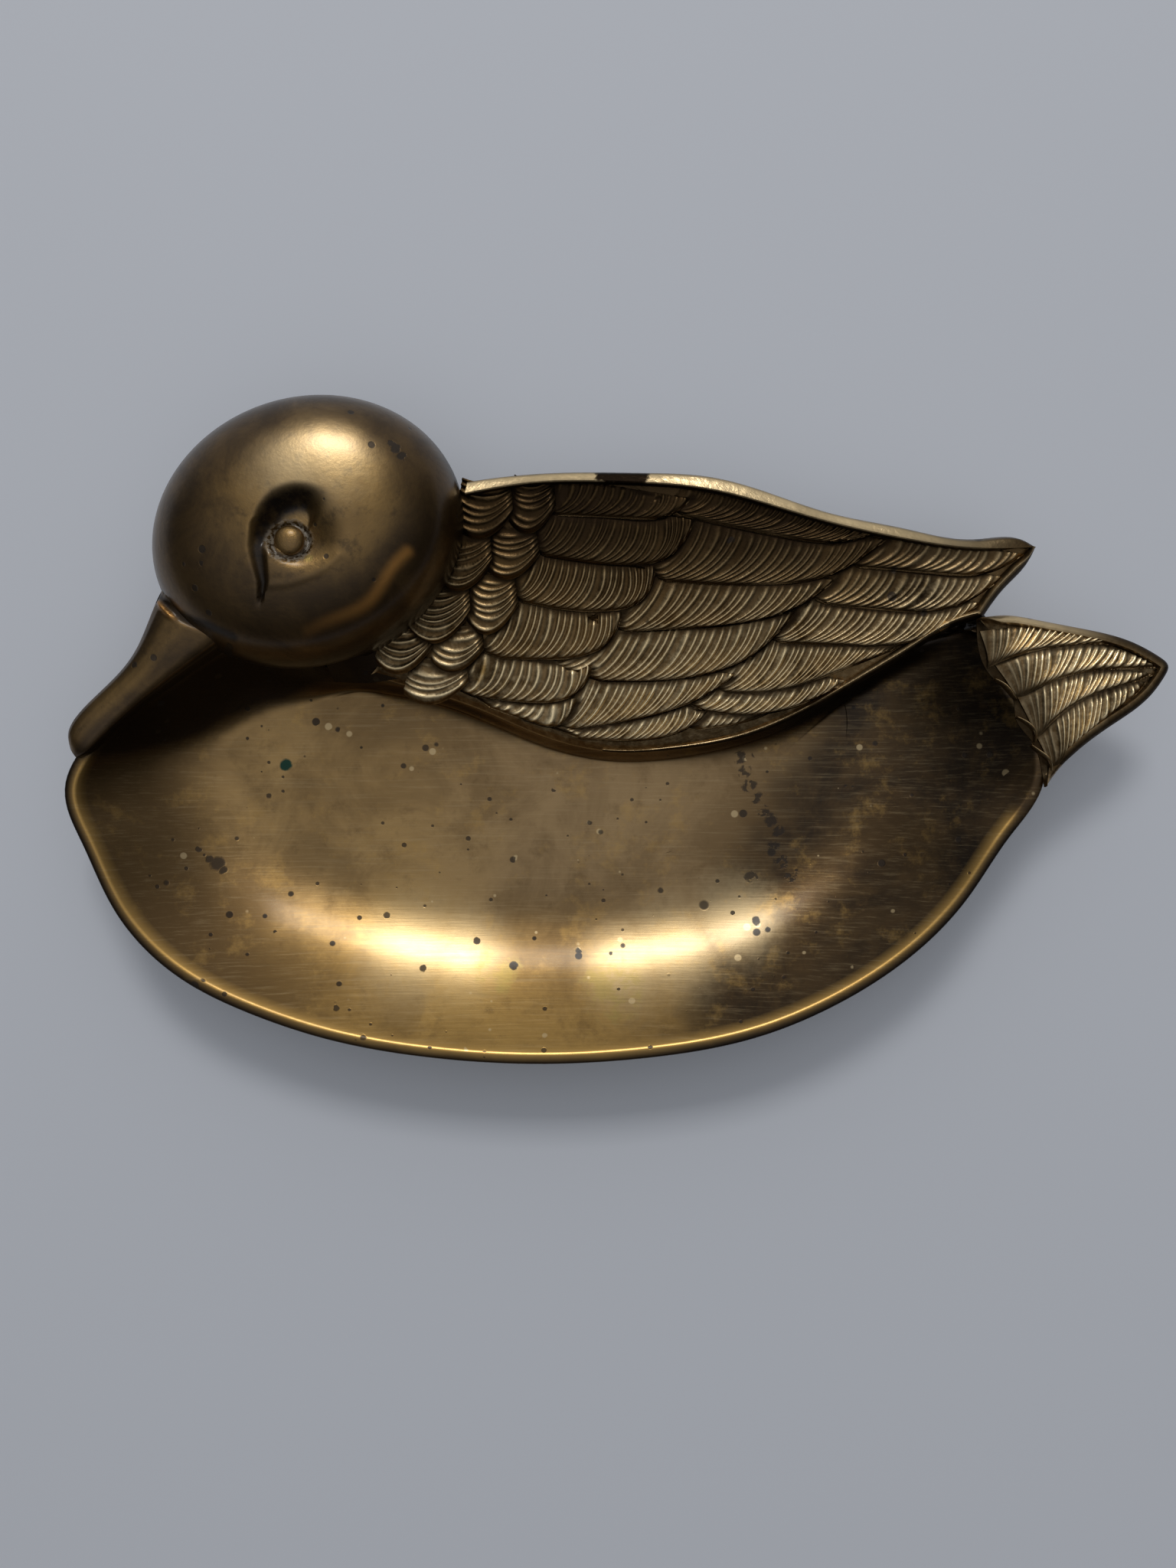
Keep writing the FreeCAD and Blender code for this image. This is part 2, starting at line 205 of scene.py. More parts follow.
def makePiece(name, shells, sharpOver=40):
    # one object from closed forms given in millimetres
    points, faces, marks = [], [], {}
    names = sorted({mark for shell in shells for mark in shell.marks})
    start = 0
    for shell in shells:
        points.append(shell.points * millimetre)
        faces += [tuple(i + start for i in face) for face in shell.faces]
        for mark in names:
            values = shell.marks.get(mark, np.zeros(len(shell.points)))
            marks.setdefault(mark, []).append(values)
        start += len(shell.points)
    mesh = bpy.data.meshes.new(name)
    mesh.from_pydata(np.vstack(points).tolist(), [], faces)
    mesh.update()
    for mark in names:
        layer = mesh.attributes.new(mark, "FLOAT", "POINT")
        layer.data.foreach_set("value", np.concatenate(marks[mark]).astype(np.float32))
    mesh.shade_smooth()
    mesh.set_sharp_from_angle(angle=math.radians(sharpOver))
    piece = bpy.data.objects.new(name, mesh)
    bpy.context.scene.collection.objects.link(piece)
    return piece


def finishPiece(piece, material, node):
    # gives a piece its material and its body, and hides the CAD node it stands for
    if len(piece.data.materials) == 0:
        piece.data.materials.append(material)
    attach(piece, "root")
    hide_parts(node)
    faces = sum(len(face.vertices) - 2 for face in piece.data.polygons)
    print("made", piece.name, faces, "triangles")


class Wire:
    # a number socket; sums on it add Math nodes
    def __init__(self, paint, socket):
        self.paint = paint
        self.socket = socket

    def maths(self, operation, *others, clamp=False):
        settings = {"operation": operation, "use_clamp": clamp}
        values = {i: value for i, value in enumerate((self,) + others)}
        return self.paint.number("ShaderNodeMath", settings, values)

    def __add__(self, other):
        return self.maths("ADD", other)

    def __sub__(self, other):
        return self.maths("SUBTRACT", other)

    def __mul__(self, other):
        return self.maths("MULTIPLY", other)

    def __pow__(self, other):
        return self.maths("POWER", other)

    __radd__ = __add__
    __rmul__ = __mul__

    def __rsub__(self, other):
        return self.paint.number("ShaderNodeMath", {"operation": "SUBTRACT"}, {0: other, 1: self})

    def clamped(self):
        return self.maths("ADD", 0.0, clamp=True)

    def larger(self, other):
        return self.maths("MAXIMUM", other)

    def between(self, low, high):
        # 0 at low, 1 at high, eased
        values = {"Value": self, "From Min": low, "From Max": high}
        return self.paint.number("ShaderNodeMapRange", {"interpolation_type": "SMOOTHSTEP"}, values)


class Paint:
    # a material, or the room round it, under work
    def __init__(self, name, owner=None, shader="Principled BSDF", place="Object"):
        self.material = owner or bpy.data.materials.new(name)
        self.material.use_nodes = True
        self.tree = self.material.node_tree
        self.shader = self.tree.nodes[shader]
        self.place = self.add("ShaderNodeTexCoord").outputs[place]

    def add(self, kind, settings=None, values=None):
        node = self.tree.nodes.new(kind)
        for key, value in (settings or {}).items():
            setattr(node, key, value)
        for key, value in (values or {}).items():
            self.join(value, node.inputs[key])
        return node

    def join(self, value, socket):
        if isinstance(value, Wire):
            value = value.socket
        if isinstance(value, bpy.types.NodeSocket):
            self.tree.links.new(value, socket)
        else:
            size = len(socket.default_value) if hasattr(socket.default_value, "__len__") else 0
            socket.default_value = (*value, 1.0) if size == 4 and len(value) == 3 else value

    def number(self, kind, settings=None, values=None, output=0):
        return Wire(self, self.add(kind, settings, values).outputs[output])

    def color(self, kind, settings=None, values=None, output=0):
        return self.add(kind, settings, values).outputs[output]

    def mark(self, name):
        return self.number("ShaderNodeAttribute", {"attribute_name": name}, output="Fac")

    def stretched(self, scale):
        return self.color("ShaderNodeMapping", {}, {"Vector": self.place, "Scale": scale})

    def noise(self, scale, detail=3.0, rough=0.5, place=None, warp=0.0):
        values = {"Vector": place or self.place, "Scale": scale, "Detail": detail,
                  "Roughness": rough, "Distortion": warp}
        return self.number("ShaderNodeTexNoise", {}, values)

    def mix(self, factor, first, second):
        return self.color("ShaderNodeMix", {"data_type": "RGBA"}, {0: factor, 6: first, 7: second}, 2)

    def away(self, spot, place=None):
        # how far a point is from a spot, in metres
        values = {0: place or self.place, 1: spot}
        return self.number("ShaderNodeVectorMath", {"operation": "DISTANCE"}, values, "Value")

    def bump(self, height, distance):
        return self.color("ShaderNodeBump", {}, {"Height": height, "Distance": distance, "Strength": 1.0})

    def axis(self, name):
        return self.number("ShaderNodeSeparateXYZ", {}, {0: self.place}, name)

    def finish(self, **sockets):
        for key, value in sockets.items():
            self.join(value, self.shader.inputs[key.replace("_", " ")])
        return self.material


brassTones = {
    "gold": (0.43, 0.255, 0.072),
    "orange": (0.80, 0.38, 0.09),
    "grey": (0.30, 0.195, 0.090),
    "brown": (0.115, 0.066, 0.024),
    "dark": (0.018, 0.011, 0.006),
    "green": (0.01, 0.04, 0.025),
    "pale": (0.66, 0.50, 0.27),
    "bright": (0.86, 0.65, 0.36),
    "shine": (1.0, 0.80, 0.48),
    "yellow": (0.36, 0.26, 0.07),
    "residue": (0.36, 0.31, 0.24),
}


speckFill = 0.42  # a speck's radius as a share of its size


def speckled(paint, size, share):
    # small round specks at random places, with the share of places that have one: 1 on a speck
    node = paint.add("ShaderNodeTexVoronoi", {}, {"Vector": paint.place, "Scale": 1.0 / size})
    chance = paint.number("ShaderNodeSeparateColor", {}, {0: node.outputs["Color"]})
    reach = (chance - (1.0 - share)) * (speckFill / share)
    return (reach - Wire(paint, node.outputs["Distance"])).between(0.0, 0.12)


def spotted(paint, spots, height, ragged=0.0008, soft=0.25):
    # stains at pixels of the picture, given with their radius in pixels: 1 on a stain
    edge = (paint.noise(700.0, 3.0, 0.6) - 0.5) * ragged  # makes the outline uneven
    flat = paint.color("ShaderNodeVectorMath", {"operation": "MULTIPLY"},
                       {0: paint.place, 1: (1.0, 1.0, 0.0)})
    total = None
    for px, py, radius in spots:
        away = paint.away((*atPixel(px, py, height)[:2] * millimetre, 0.0), flat) + edge
        reach = radius * view["perPixel"] * millimetre
        stain = away.between(reach * (1 + soft), reach * (1 - soft))
        total = stain if total is None else total.larger(stain)
    return total


bowlFinish = {
    "scratches": (90.0, 2600.0, 400.0), "roughness": 0.30, "coat": 0.25, "coatRoughness": 0.16,
    "bumpDepth": 0.00006, "wallHeight": 8.0, "yellowHeight": 10.0, "floorHeight": 4.0, "spotHeight": 6.0,
    "specks": ((0.0013, 0.05), (0.0020, 0.06), (0.0031, 0.015)), "paleSpecks": (0.0019, 0.05),
    "green": [(368, 999, 8)],
    "dark": [(285, 1128, 9), (276, 1122, 5), (293, 1136, 5), (279, 1275, 6), (503, 1197, 4),
             (554, 1262, 4), (489, 1339, 4), (345, 1040, 4), (622, 1230, 4), (671, 1260, 5),
             (988, 1203, 5), (864, 1165, 4)],
    "streaks": [(968, 990, 8), (974, 1008, 9), (980, 1026, 9), (988, 1042, 8), (998, 1058, 8),
                (1008, 1072, 9), (1018, 1086, 8), (1012, 1106, 8), (1022, 1126, 10), (1033, 1145, 8),
                (982, 1145, 8)],
    "yellow": [(648, 1270, 30), (800, 1290, 40)],
    "wearAndSheen": [(540, 1240, 60), (600, 1246, 52), (820, 1262, 50), (880, 1240, 55), (960, 1200, 50)],
    "dullAndShaded": [(712, 1250, 70), (300, 1265, 95), (240, 1210, 80), (380, 1275, 85), (330, 1190, 60)],
}


def bowlBrass():
    # gold along the belly; brown at both ends and below the wing, partly patina and partly painted shade;
    # brushed from left to right
    paint = Paint("bowlBrass")
    tones = brassTones
    warm = paint.noise(22.0, 4.0, 0.6)
    cloud = paint.noise(55.0, 5.0, 0.65, warp=0.6)
    fine = paint.noise(260.0, 5.0, 0.7)
    x, y = paint.axis("X"), paint.axis("Y")
    lowGold = (y + warm * 0.02).between(0.000, -0.022)
    color = paint.mix(lowGold, tones["grey"], tones["gold"])
    color = paint.mix((x + warm * 0.03).between(0.012, -0.02) * 0.4, color, tones["gold"])
    # painted shade, partly patina: brown at both ends and below the wing, dark at the right end
    left = (x + y * 0.35 + warm * 0.03).between(-0.036, -0.062) * 0.9
    right = (x - y * 0.3 + warm * 0.04).between(0.036, 0.072)
    near = (y + warm * 0.02 + x * 0.15).between(0.012, 0.034) * 0.8
    color = paint.mix((left.larger(right).larger(near)).clamped() * 0.95, color, tones["brown"])
    color = paint.mix(right.between(0.3, 0.9) * 0.95, color, tones["dark"])
    color = paint.mix(cloud.between(0.36, 0.66) * 0.55, color, tones["brown"])
    color = paint.mix(fine.between(0.50, 0.78) * 0.5, color, tones["brown"])
    # painted shade: brown, slightly rougher patches that dim and split the highlight on the belly wall
    dullAndShaded = spotted(paint, bowlFinish["dullAndShaded"], bowlFinish["wallHeight"], 0.006, 0.8)
    color = paint.mix(dullAndShaded * 0.74, color, tones["brown"])
    # painted highlight: pale patches where the window's reflection lies on the belly wall
    wearAndSheen = spotted(paint, bowlFinish["wearAndSheen"], bowlFinish["wallHeight"], 0.004, 0.8)
    color = paint.mix(wearAndSheen * 0.42, color, tones["pale"])
    blotch = paint.noise(160.0, 5.0, 0.7)
    color = paint.mix(blotch.between(0.52, 0.72) * 0.35, color, tones["gold"])
    # the first mark: polish and a painted highlight on the rim's top; the second: painted shade on the outer
    # lip and the outside wall; the third: painted shade with some grime
    rim, outer, dirt = (paint.mark(name).clamped() for name in ("rim", "outer", "dirt"))
    color = paint.mix(rim * 0.85, color, tones["gold"])
    scratch = paint.noise(1.0, 4.0, 0.7, place=paint.stretched(bowlFinish["scratches"]))
    color = paint.mix(scratch.between(0.48, 0.78) * 0.15, color, tones["pale"])
    yellow = spotted(paint, bowlFinish["yellow"], bowlFinish["yellowHeight"], 0.004)
    yellow = yellow * fine.between(0.42, 0.60)
    color = paint.mix(yellow * 0.55, color, tones["yellow"])
    color = paint.mix(speckled(paint, *bowlFinish["paleSpecks"]) * 0.5, color, tones["pale"])
    specks = spotted(paint, bowlFinish["dark"], bowlFinish["spotHeight"])
    for size, share in bowlFinish["specks"]:
        specks = specks.larger(speckled(paint, size, share))
    streaks = spotted(paint, bowlFinish["streaks"], bowlFinish["floorHeight"], 0.0022)
    streaks = streaks * paint.noise(900.0).between(0.42, 0.52)
    stains = (specks * 0.78).larger(streaks * 0.75)
    color = paint.mix(stains, color, tones["dark"])
    green = spotted(paint, bowlFinish["green"], bowlFinish["spotHeight"])
    color = paint.mix(green, color, tones["green"])
    # painted shade on the outer lip and wall, below the chin and beside the wing
    color = paint.mix((outer * 0.9).larger(dirt), color, tones["dark"])
    rough = scratch * 0.16 + cloud * 0.12 + (bowlFinish["roughness"] - 0.14) + stains * 0.3 + dirt * 0.25
    rough = rough + dullAndShaded * 0.10
    height = scratch * 0.16 - stains * 0.7 + cloud * 0.5 + dirt * paint.noise(1500.0) * 1.5
    return paint.finish(Base_Color=color, Roughness=rough, Metallic=1.0 - stains * 0.25,
                        Normal=paint.bump(height, bowlFinish["bumpDepth"]),
                        Coat_Weight=bowlFinish["coat"], Coat_Roughness=bowlFinish["coatRoughness"])


featherFinish = {
    "tarnish": [(795, 618, 16), (812, 620, 18), (830, 622, 16)], "rimHeight": 20.3,
    "glint": [(1240, 816, 7)], "glintHeight": 18.0, "specks": (0.0028, 0.07),
    "roughness": 0.36, "bumpDepth": 0.00010,
}


def featherBrass():
    # dark grooves, pale barbs that turn to gold on the low rows with painted light, painted shade below
    # overlapping edges, and a polished rim with a painted highlight
    paint = Paint("featherBrass")
    tones = brassTones
    relief, polish, groove, plain = (paint.mark(name).clamped()
                                     for name in ("relief", "polish", "groove", "plain"))
    wearAndSheen = paint.noise(45.0, 4.0, 0.6)
    fine = paint.noise(900.0, 4.0, 0.6)
    cloud = paint.noise(140.0, 4.0, 0.65)
    # painted light: the low rows and the tip are lighter, their ridges gold and shining
    low = (paint.axis("Y") + wearAndSheen * 0.016 - paint.axis("X").larger(0.05) * 0.4).between(0.040, 0.004)
    low = low.larger(paint.axis("X").between(0.070, 0.076) * paint.axis("Y").between(0.0385, 0.0345))
    hollow = paint.mix(wearAndSheen.between(0.35, 0.7), tones["dark"], tones["brown"])
    hollow = paint.mix(low * cloud.between(0.3, 0.6) * 0.75, hollow, tones["grey"])
    dullAndShaded = paint.mix(wearAndSheen.between(0.3, 0.75), tones["brown"], tones["grey"])
    ridge = paint.mix((low * 1.1 + (cloud - 0.5) * 0.8).clamped(), dullAndShaded, tones["gold"])
    ridge = paint.mix(low * cloud.between(0.25, 0.45), ridge, tones["shine"])
    raised = (relief * 1.6 - 0.15 + low * 0.2 + (fine - 0.5) * 0.8).clamped()
    color = paint.mix(raised, hollow, ridge)
    shaded = (paint.axis("Y") + wearAndSheen * 0.012).between(0.044, 0.058) * 0.6
    color = paint.mix(shaded, color, tones["dark"])
    color = paint.mix(plain * (0.55 + (cloud - 0.5) * 0.8), color, tones["grey"])
    glint = spotted(paint, featherFinish["glint"], featherFinish["glintHeight"])
    color = paint.mix(glint * 0.8, color, tones["bright"])
    # painted shade below overlapping edges, on the rim's inner side, on the lips and along the tail's root
    color = paint.mix(groove * 0.9, color, tones["dark"])
    tarnish = spotted(paint, featherFinish["tarnish"], featherFinish["rimHeight"], 0.003)
    # polish with a painted highlight on the rim's facet, the lips, the plate's lower edge and the scallops,
    # where there is no tarnish
    facet = polish * (1.0 - tarnish)
    color = paint.mix(facet * (0.85 + (cloud - 0.5) * 0.8), color, tones["bright"])
    color = paint.mix(polish * tarnish, color, tones["dark"])
    specks = speckled(paint, *featherFinish["specks"])
    color = paint.mix(specks * 0.85, color, tones["dark"])
    rough = featherFinish["roughness"] - relief * 0.06 + (fine - 0.5) * 0.2 + groove * 0.2 - facet * 0.04
    return paint.finish(Base_Color=color, Roughness=rough, Metallic=1.0 - specks * 0.25,
                        Normal=paint.bump(fine + cloud * 0.6, featherFinish["bumpDepth"]))


headFinish = {
    "eyeAt": (377, 706, 31.8), "wearAndSheen": [(426, 574, 60), (385, 600, 50)], "wearAndSheenHeight": 31.0,
    "dark": [(518, 588, 6), (526, 596, 5), (512, 580, 4)], "darkHeight": 30.0,
    "mouth": [(284, 862, 4), (289, 858, 5), (294, 854, 5), (299, 850, 5), (304, 846, 4)],
    "mouthHeight": 22.0, "specks": (0.0018, 0.07), "paleSpecks": (0.0045, 0.05),
    "roughness": 0.34, "coat": 0.5, "coatRoughness": 0.22, "bumpDepth": 0.00005,
}


def headBrass():
    # brown over gold, with painted shade down the sides and in the hollow round the eye
    paint = Paint("headBrass")
    tones = brassTones
    warm = paint.noise(30.0, 4.0, 0.6)
    cloud = paint.noise(90.0, 5.0, 0.65, warp=0.5)
    fine = paint.noise(420.0, 5.0, 0.7)
    grain = paint.noise(1400.0, 3.0, 0.6)
    color = paint.mix(warm.between(0.35, 0.65) * 0.5 + 0.25, tones["gold"], tones["brown"])
    color = paint.mix(cloud.between(0.45, 0.75) * 0.5, color, tones["brown"])
    color = paint.mix(fine.between(0.50, 0.72) * 0.55, color, tones["dark"])
    # painted highlight: pale patches on the crown where the window's reflection lies
    wearAndSheen = spotted(paint, headFinish["wearAndSheen"], headFinish["wearAndSheenHeight"], 0.004, 0.8)
    color = paint.mix(wearAndSheen * 0.4, color, tones["bright"])
    hollow, side = paint.mark("hollow").clamped(), paint.mark("side").clamped()
    # painted shade down the head's steep sides and on the bill's edges
    color = paint.mix((side * (0.9 + (cloud - 0.5) * 0.5)).clamped(), color, tones["brown"])
    color = paint.mix(side * cloud.between(0.35, 0.65) * 0.5, color, tones["dark"])
    # painted orange reflection low on the head's right, and painted highlights on the bill
    color = paint.mix(paint.mark("glow").clamped() * (0.45 + cloud * 0.5), color, tones["orange"])
    # painted shade, with some grime, in the socket, the tear line, the ring round the eye, the crease, the
    # head's foot and inside the dome, and in the bill's crease and along its far edge
    color = paint.mix((hollow + (fine - 0.5) * hollow * 0.8).clamped(), color, tones["dark"])
    eyeAway = paint.away(atPixel(*headFinish["eyeAt"]) * millimetre)
    ringOf = eyeAway.between(0.0023, 0.0028) * eyeAway.between(0.0042, 0.0032)
    residue = ringOf * grain.between(0.44, 0.58) * 0.75
    color = paint.mix(residue, color, tones["residue"])
    specks = speckled(paint, *headFinish["specks"])
    specks = specks.larger(spotted(paint, headFinish["dark"], headFinish["darkHeight"], 0.0020))
    # painted shade along the mouth's slit
    specks = specks.larger(spotted(paint, headFinish["mouth"], headFinish["mouthHeight"]))
    color = paint.mix(specks * 0.8, color, tones["dark"])
    color = paint.mix(speckled(paint, *headFinish["paleSpecks"]) * 0.5, color, tones["yellow"])
    rough = headFinish["roughness"] + cloud * 0.12 + hollow * 0.25 + residue * 0.3
    rugged = eyeAway.between(0.0085, 0.0035) * fine * 3.0
    height = grain * 0.6 + cloud * 1.5 + rugged - specks
    return paint.finish(Base_Color=color, Roughness=rough,
                        Metallic=1.0 - (specks * 0.25).larger(residue * 0.6),
                        Normal=paint.bump(height, headFinish["bumpDepth"]),
                        Coat_Weight=headFinish["coat"], Coat_Roughness=headFinish["coatRoughness"])


print("lines, forms and finishes described")


dish = {
    "length": 171.0, "width": 100.0, "rimHeight": 17.0, "rimWidth": 2.13, "floor": 3.0,
    "footMargin": 1.1, "rimRound": 0.55, "around": 420, "wallRings": 30, "floorRings": 36,
    "middle": (18.0, -7.0), "dirt": 0.92,
}
# How the bowl meets the wing's seat, in millimetres
blend = {"seatGap": 0.05, "fillet": 4.2, "fall": 0.8, "fallReach": 2.0, "rise": 0.5, "riseFrom": 2.4,
         "farRise": 3.0, "farFrom": 7.0, "softness": 1.6, "softFrom": 3.0, "softBelow": 16.5,
         "rounds": 40, "strength": 0.8, "corner": (71.5, 31.5), "cornerRise": 6.5, "cornerReach": (8.5, 2.5)}
openingShares = [
    (-0.478, 0.104), (-0.490, 0.058), (-0.475, -0.028), (-0.441, -0.148), (-0.386, -0.247),
    (-0.316, -0.310), (-0.233, -0.357), (-0.136, -0.386), (-0.030, -0.397), (0.083, -0.386),
    (0.188, -0.352), (0.269, -0.294), (0.337, -0.218), (0.390, -0.126), (0.435, -0.014),
    (0.466, 0.070), (0.455, 0.172), (0.430, 0.242), (0.416, 0.312),
    (0.369, 0.316), (0.305, 0.253), (0.244, 0.196), (0.178, 0.153), (0.111, 0.133),
    (0.046, 0.129), (-0.028, 0.157), (-0.100, 0.208), (-0.144, 0.234), (-0.192, 0.250),
    (-0.228, 0.262), (-0.275, 0.285), (-0.337, 0.289), (-0.382, 0.244), (-0.416, 0.204),
    (-0.456, 0.149)]
floorShares = [
    (-0.362, 0.112), (-0.350, 0.080), (-0.333, 0.036), (-0.302, -0.022), (-0.258, -0.068),
    (-0.204, -0.100), (-0.145, -0.119), (-0.080, -0.131), (-0.010, -0.138), (0.064, -0.133),
    (0.134, -0.115), (0.193, -0.083), (0.235, -0.046), (0.266, -0.002), (0.282, 0.044),
    (0.291, 0.084), (0.295, 0.130), (0.298, 0.170), (0.295, 0.205),
    (0.287, 0.205), (0.262, 0.190), (0.228, 0.160), (0.173, 0.128), (0.109, 0.108),
    (0.046, 0.104), (-0.029, 0.133), (-0.102, 0.185), (-0.146, 0.210), (-0.193, 0.225),
    (-0.226, 0.230), (-0.274, 0.206), (-0.310, 0.186), (-0.335, 0.166), (-0.351, 0.150),
    (-0.360, 0.132)]
wallShares = [(0.0, 0.0), (0.12, 0.02), (0.25, 0.08), (0.38, 0.17), (0.50, 0.28), (0.62, 0.42),
              (0.75, 0.60), (0.88, 0.80), (1.0, 1.0)]

# The wing, and the feathers' barbs
wing = {
    "length": dish["length"] * 0.573, "width": 52.0, "front": (-17.0, 58.5, 17.0), "yaw": -6.0,
    "tilt": 15.5, "plate": 1.25, "rimHeight": 3.5, "rimOuterHeight": 2.45, "bankInset": 0.8,
    "bankThickness": 1.8, "barbHeight": 0.55, "barbSharpness": 2.2, "barbPitch": 1.36, "barbLag": 0.30,
    "groove": 1.25, "seed": 7, "smallPitch": 1.15, "raisedTops": {1: 2.8},
    "tipRise": {15: 0.6, 16: 0.6, 17: 0.2}, "sink": 0.6, "edgeDrop": 0.75,
    "lowFrom": (160, 190), "lowTo": (364, 330),
    "rowLift": [0.5] * 3 + [0.6] * 3 + [0.85] * 3 + [1.0] * 9, "smallLift": 0.6,
    "counts": (120, 24, 160, 60),
}


def turned(yaw, tilt=0.0):
    # the three directions of a frame that is turned, then tilted about its own X
    c, s = math.cos(math.radians(yaw)), math.sin(math.radians(yaw))
    ct, st = math.cos(math.radians(tilt)), math.sin(math.radians(tilt))
    return np.array([[c, s, 0], [-s * ct, c * ct, st], [s * st, -c * st, ct]])


wingAxes = turned(wing["yaw"], wing["tilt"])


def onWing(points):
    # from the wing's own frame to the table's
    return np.array(wing["front"]) + np.asarray(points) @ wingAxes


def toWing(px, py, rise=2.0):
    # where a pixel of the picture meets the wing, in the wing's own frame
    height = 12.0
    for _ in range(40):
        local = wingAxes @ (atPixel(px, py, height) - np.array(wing["front"]))
        height -= local[2] - rise
    return local[:2]


def seatHeight(points):
    # the height of the sloping seat under the wing
    normal = wingAxes[2]
    gap = points[:, :2] - np.array(wing["front"])[:2]
    return wing["front"][2] - gap @ normal[:2] / normal[2]


wingRimShares = [
    (0.003, -0.012), (0.049, 0.009), (0.158, 0.046), (0.305, 0.074), (0.424, 0.083), (0.510, 0.059),
    (0.639, 0.008), (0.768, -0.015), (0.896, -0.025), (0.969, -0.010), (0.994, -0.028)]
wingRimInnerShares = [
    (0.003, -0.050), (0.104, 0.002), (0.270, 0.039), (0.418, 0.045), (0.599, -0.009),
    (0.772, -0.047), (0.899, -0.052), (0.994, -0.028)]
wingTipShares = [(0.994, -0.028), (0.989, -0.073), (0.956, -0.172), (0.927, -0.279)]
wingLowerShares = [
    (0.927, -0.279), (0.885, -0.312), (0.829, -0.393), (0.732, -0.538), (0.637, -0.669),
    (0.529, -0.777), (0.415, -0.838), (0.302, -0.870), (0.170, -0.839), (0.040, -0.762),
    (-0.060, -0.722), (-0.150, -0.690)]
wingBreastShares = [
    (-0.150, -0.690), (-0.152, -0.629), (-0.106, -0.525), (-0.053, -0.389), (-0.022, -0.251),
    (-0.006, -0.138), (0.003, -0.012)]
wingSize = np.array([wing["length"], wing["width"]])


wingSides = (wingRimShares, wingTipShares, wingLowerShares, wingBreastShares)
wingOutline = np.vstack([alongShares(shares, wingSize, count, last=False)
                         for shares, count in zip(wingSides, wing["counts"])])
wingPlan = onWing(np.column_stack([wingOutline, np.zeros(len(wingOutline))]))


tail = {"length": dish["length"] * 0.193, "width": 29.0, "start": (dish["length"] * 0.4135, 34.2),
        "plate": 1.3, "seat": 17.0, "barbPitch": 1.15, "tipRounds": 14, "firstOrder": 40, "lastOrder": 43,
        "counts": (60, 70, 60), "lipCount": 90}
tailTopShares = [
    (-0.020, 0.005), (0.120, 0.022), (0.255, 0.000), (0.509, -0.055), (0.764, -0.131),
    (0.976, -0.266)]
tailUnderShares = [
    (0.976, -0.266), (0.852, -0.466), (0.679, -0.614), (0.509, -0.755), (0.390, -0.890),
    (0.330, -0.985)]
tailRootShares = [
    (0.330, -0.985), (0.318, -0.900), (0.268, -0.721), (0.179, -0.572), (0.170, -0.470),
    (0.067, -0.348), (-0.010, -0.180), (-0.020, 0.005)]
tailSize = np.array([tail["length"], tail["width"]])


def onTail(points):
    points = np.asarray(points, dtype=float)
    return points + np.array([*tail["start"], tail["seat"]])


def dishRings():
    # rings from the bowl's middle up to the rim, over it, and down the outside to the foot
    size = np.array([dish["length"], dish["width"]])
    opening = spline(np.array(openingShares) * size, closed=True)
    floor = spline(np.array(floorShares) * size, knots=opening.knots, closed=True)
    spots = np.linspace(0, 1, dish["around"], endpoint=False)
    rimLine, floorLine = opening(spots), floor(spots)
    outLine = rimLine + outwards(rimLine) * dish["rimWidth"]
    footLine = floorLine + outwards(floorLine) * dish["footMargin"]
    wall = spline(np.array(wallShares))(np.linspace(0, 1, dish["wallRings"]))
    depth = dish["rimHeight"] - dish["floor"]
    middle = np.array(dish["middle"])
    rings, rims, outers = [], [], []

    def ring(line, height, rim=0.0, outer=0.0):
        points = np.column_stack([line, np.full(len(line), float(height))])
        rings.append(points)
        rims.append(np.full(len(line), rim))
        outers.append(np.full(len(line), outer))

    for share in np.linspace(0.02, 1.0, dish["floorRings"], endpoint=False):
        # the rings lie closer towards the wall
        ring(middle + (floorLine - middle) * (1 - (1 - share) ** 1.8), dish["floor"])
    for out, up in wall:
        ring(floorLine + (rimLine - floorLine) * out, dish["floor"] + up * (depth - 0.32),
             easeIn(out, 0.95, 1.0))
    # the rim's top is marked for polish and a painted highlight, its outer lip and the outside wall for
    # painted shade
    for share, drop, shine in ((0.10, 0.16, 1.0), (0.22, 0.05, 1.0), (0.34, 0.0, 0.6)):
        ring(rimLine + (outLine - rimLine) * share, dish["rimHeight"] - drop, shine, 1.0 - shine)
    for angle in np.radians([75, 50, 25, 0]):
        share = 1 - dish["rimRound"] / dish["rimWidth"] * (1 - math.cos(angle))
        height = dish["rimHeight"] - dish["rimRound"] * (1 - math.sin(angle))
        ring(rimLine + (outLine - rimLine) * share, height, 0.0, 1.0)
    shoulder = dish["rimHeight"] - dish["rimRound"]
    for out, up in wall[::-1][1:]:
        ring(footLine + (outLine - footLine) * out, up * shoulder, 0.0, 0.6)
    ring(middle + (footLine - middle) * 0.9, 0.0)
    ring(middle + (footLine - middle) * 0.03, 0.0)
    return rings, {"rim": np.concatenate(rims), "outer": np.concatenate(outers)}


# The wall below the head and the bill, darkened with painted shade: along the bowl's floor, then back under
# the head
chinPixels = [(92, 990), (112, 994), (138, 998), (182, 992), (223, 979), (260, 965), (297, 942),
              (334, 926), (374, 916), (408, 900), (452, 889), (500, 893), (520, 880), (560, 800),
              (400, 700), (200, 800), (60, 960)]
chinHeight = 6.0


def edgeDistance(points, line):
    # how far inside a closed line each point lies, in plan: less than 0 outside
    away = lineDistance(points, np.vstack([line, line[:1]]))
    return np.where(isInside(points, line), away, -away)


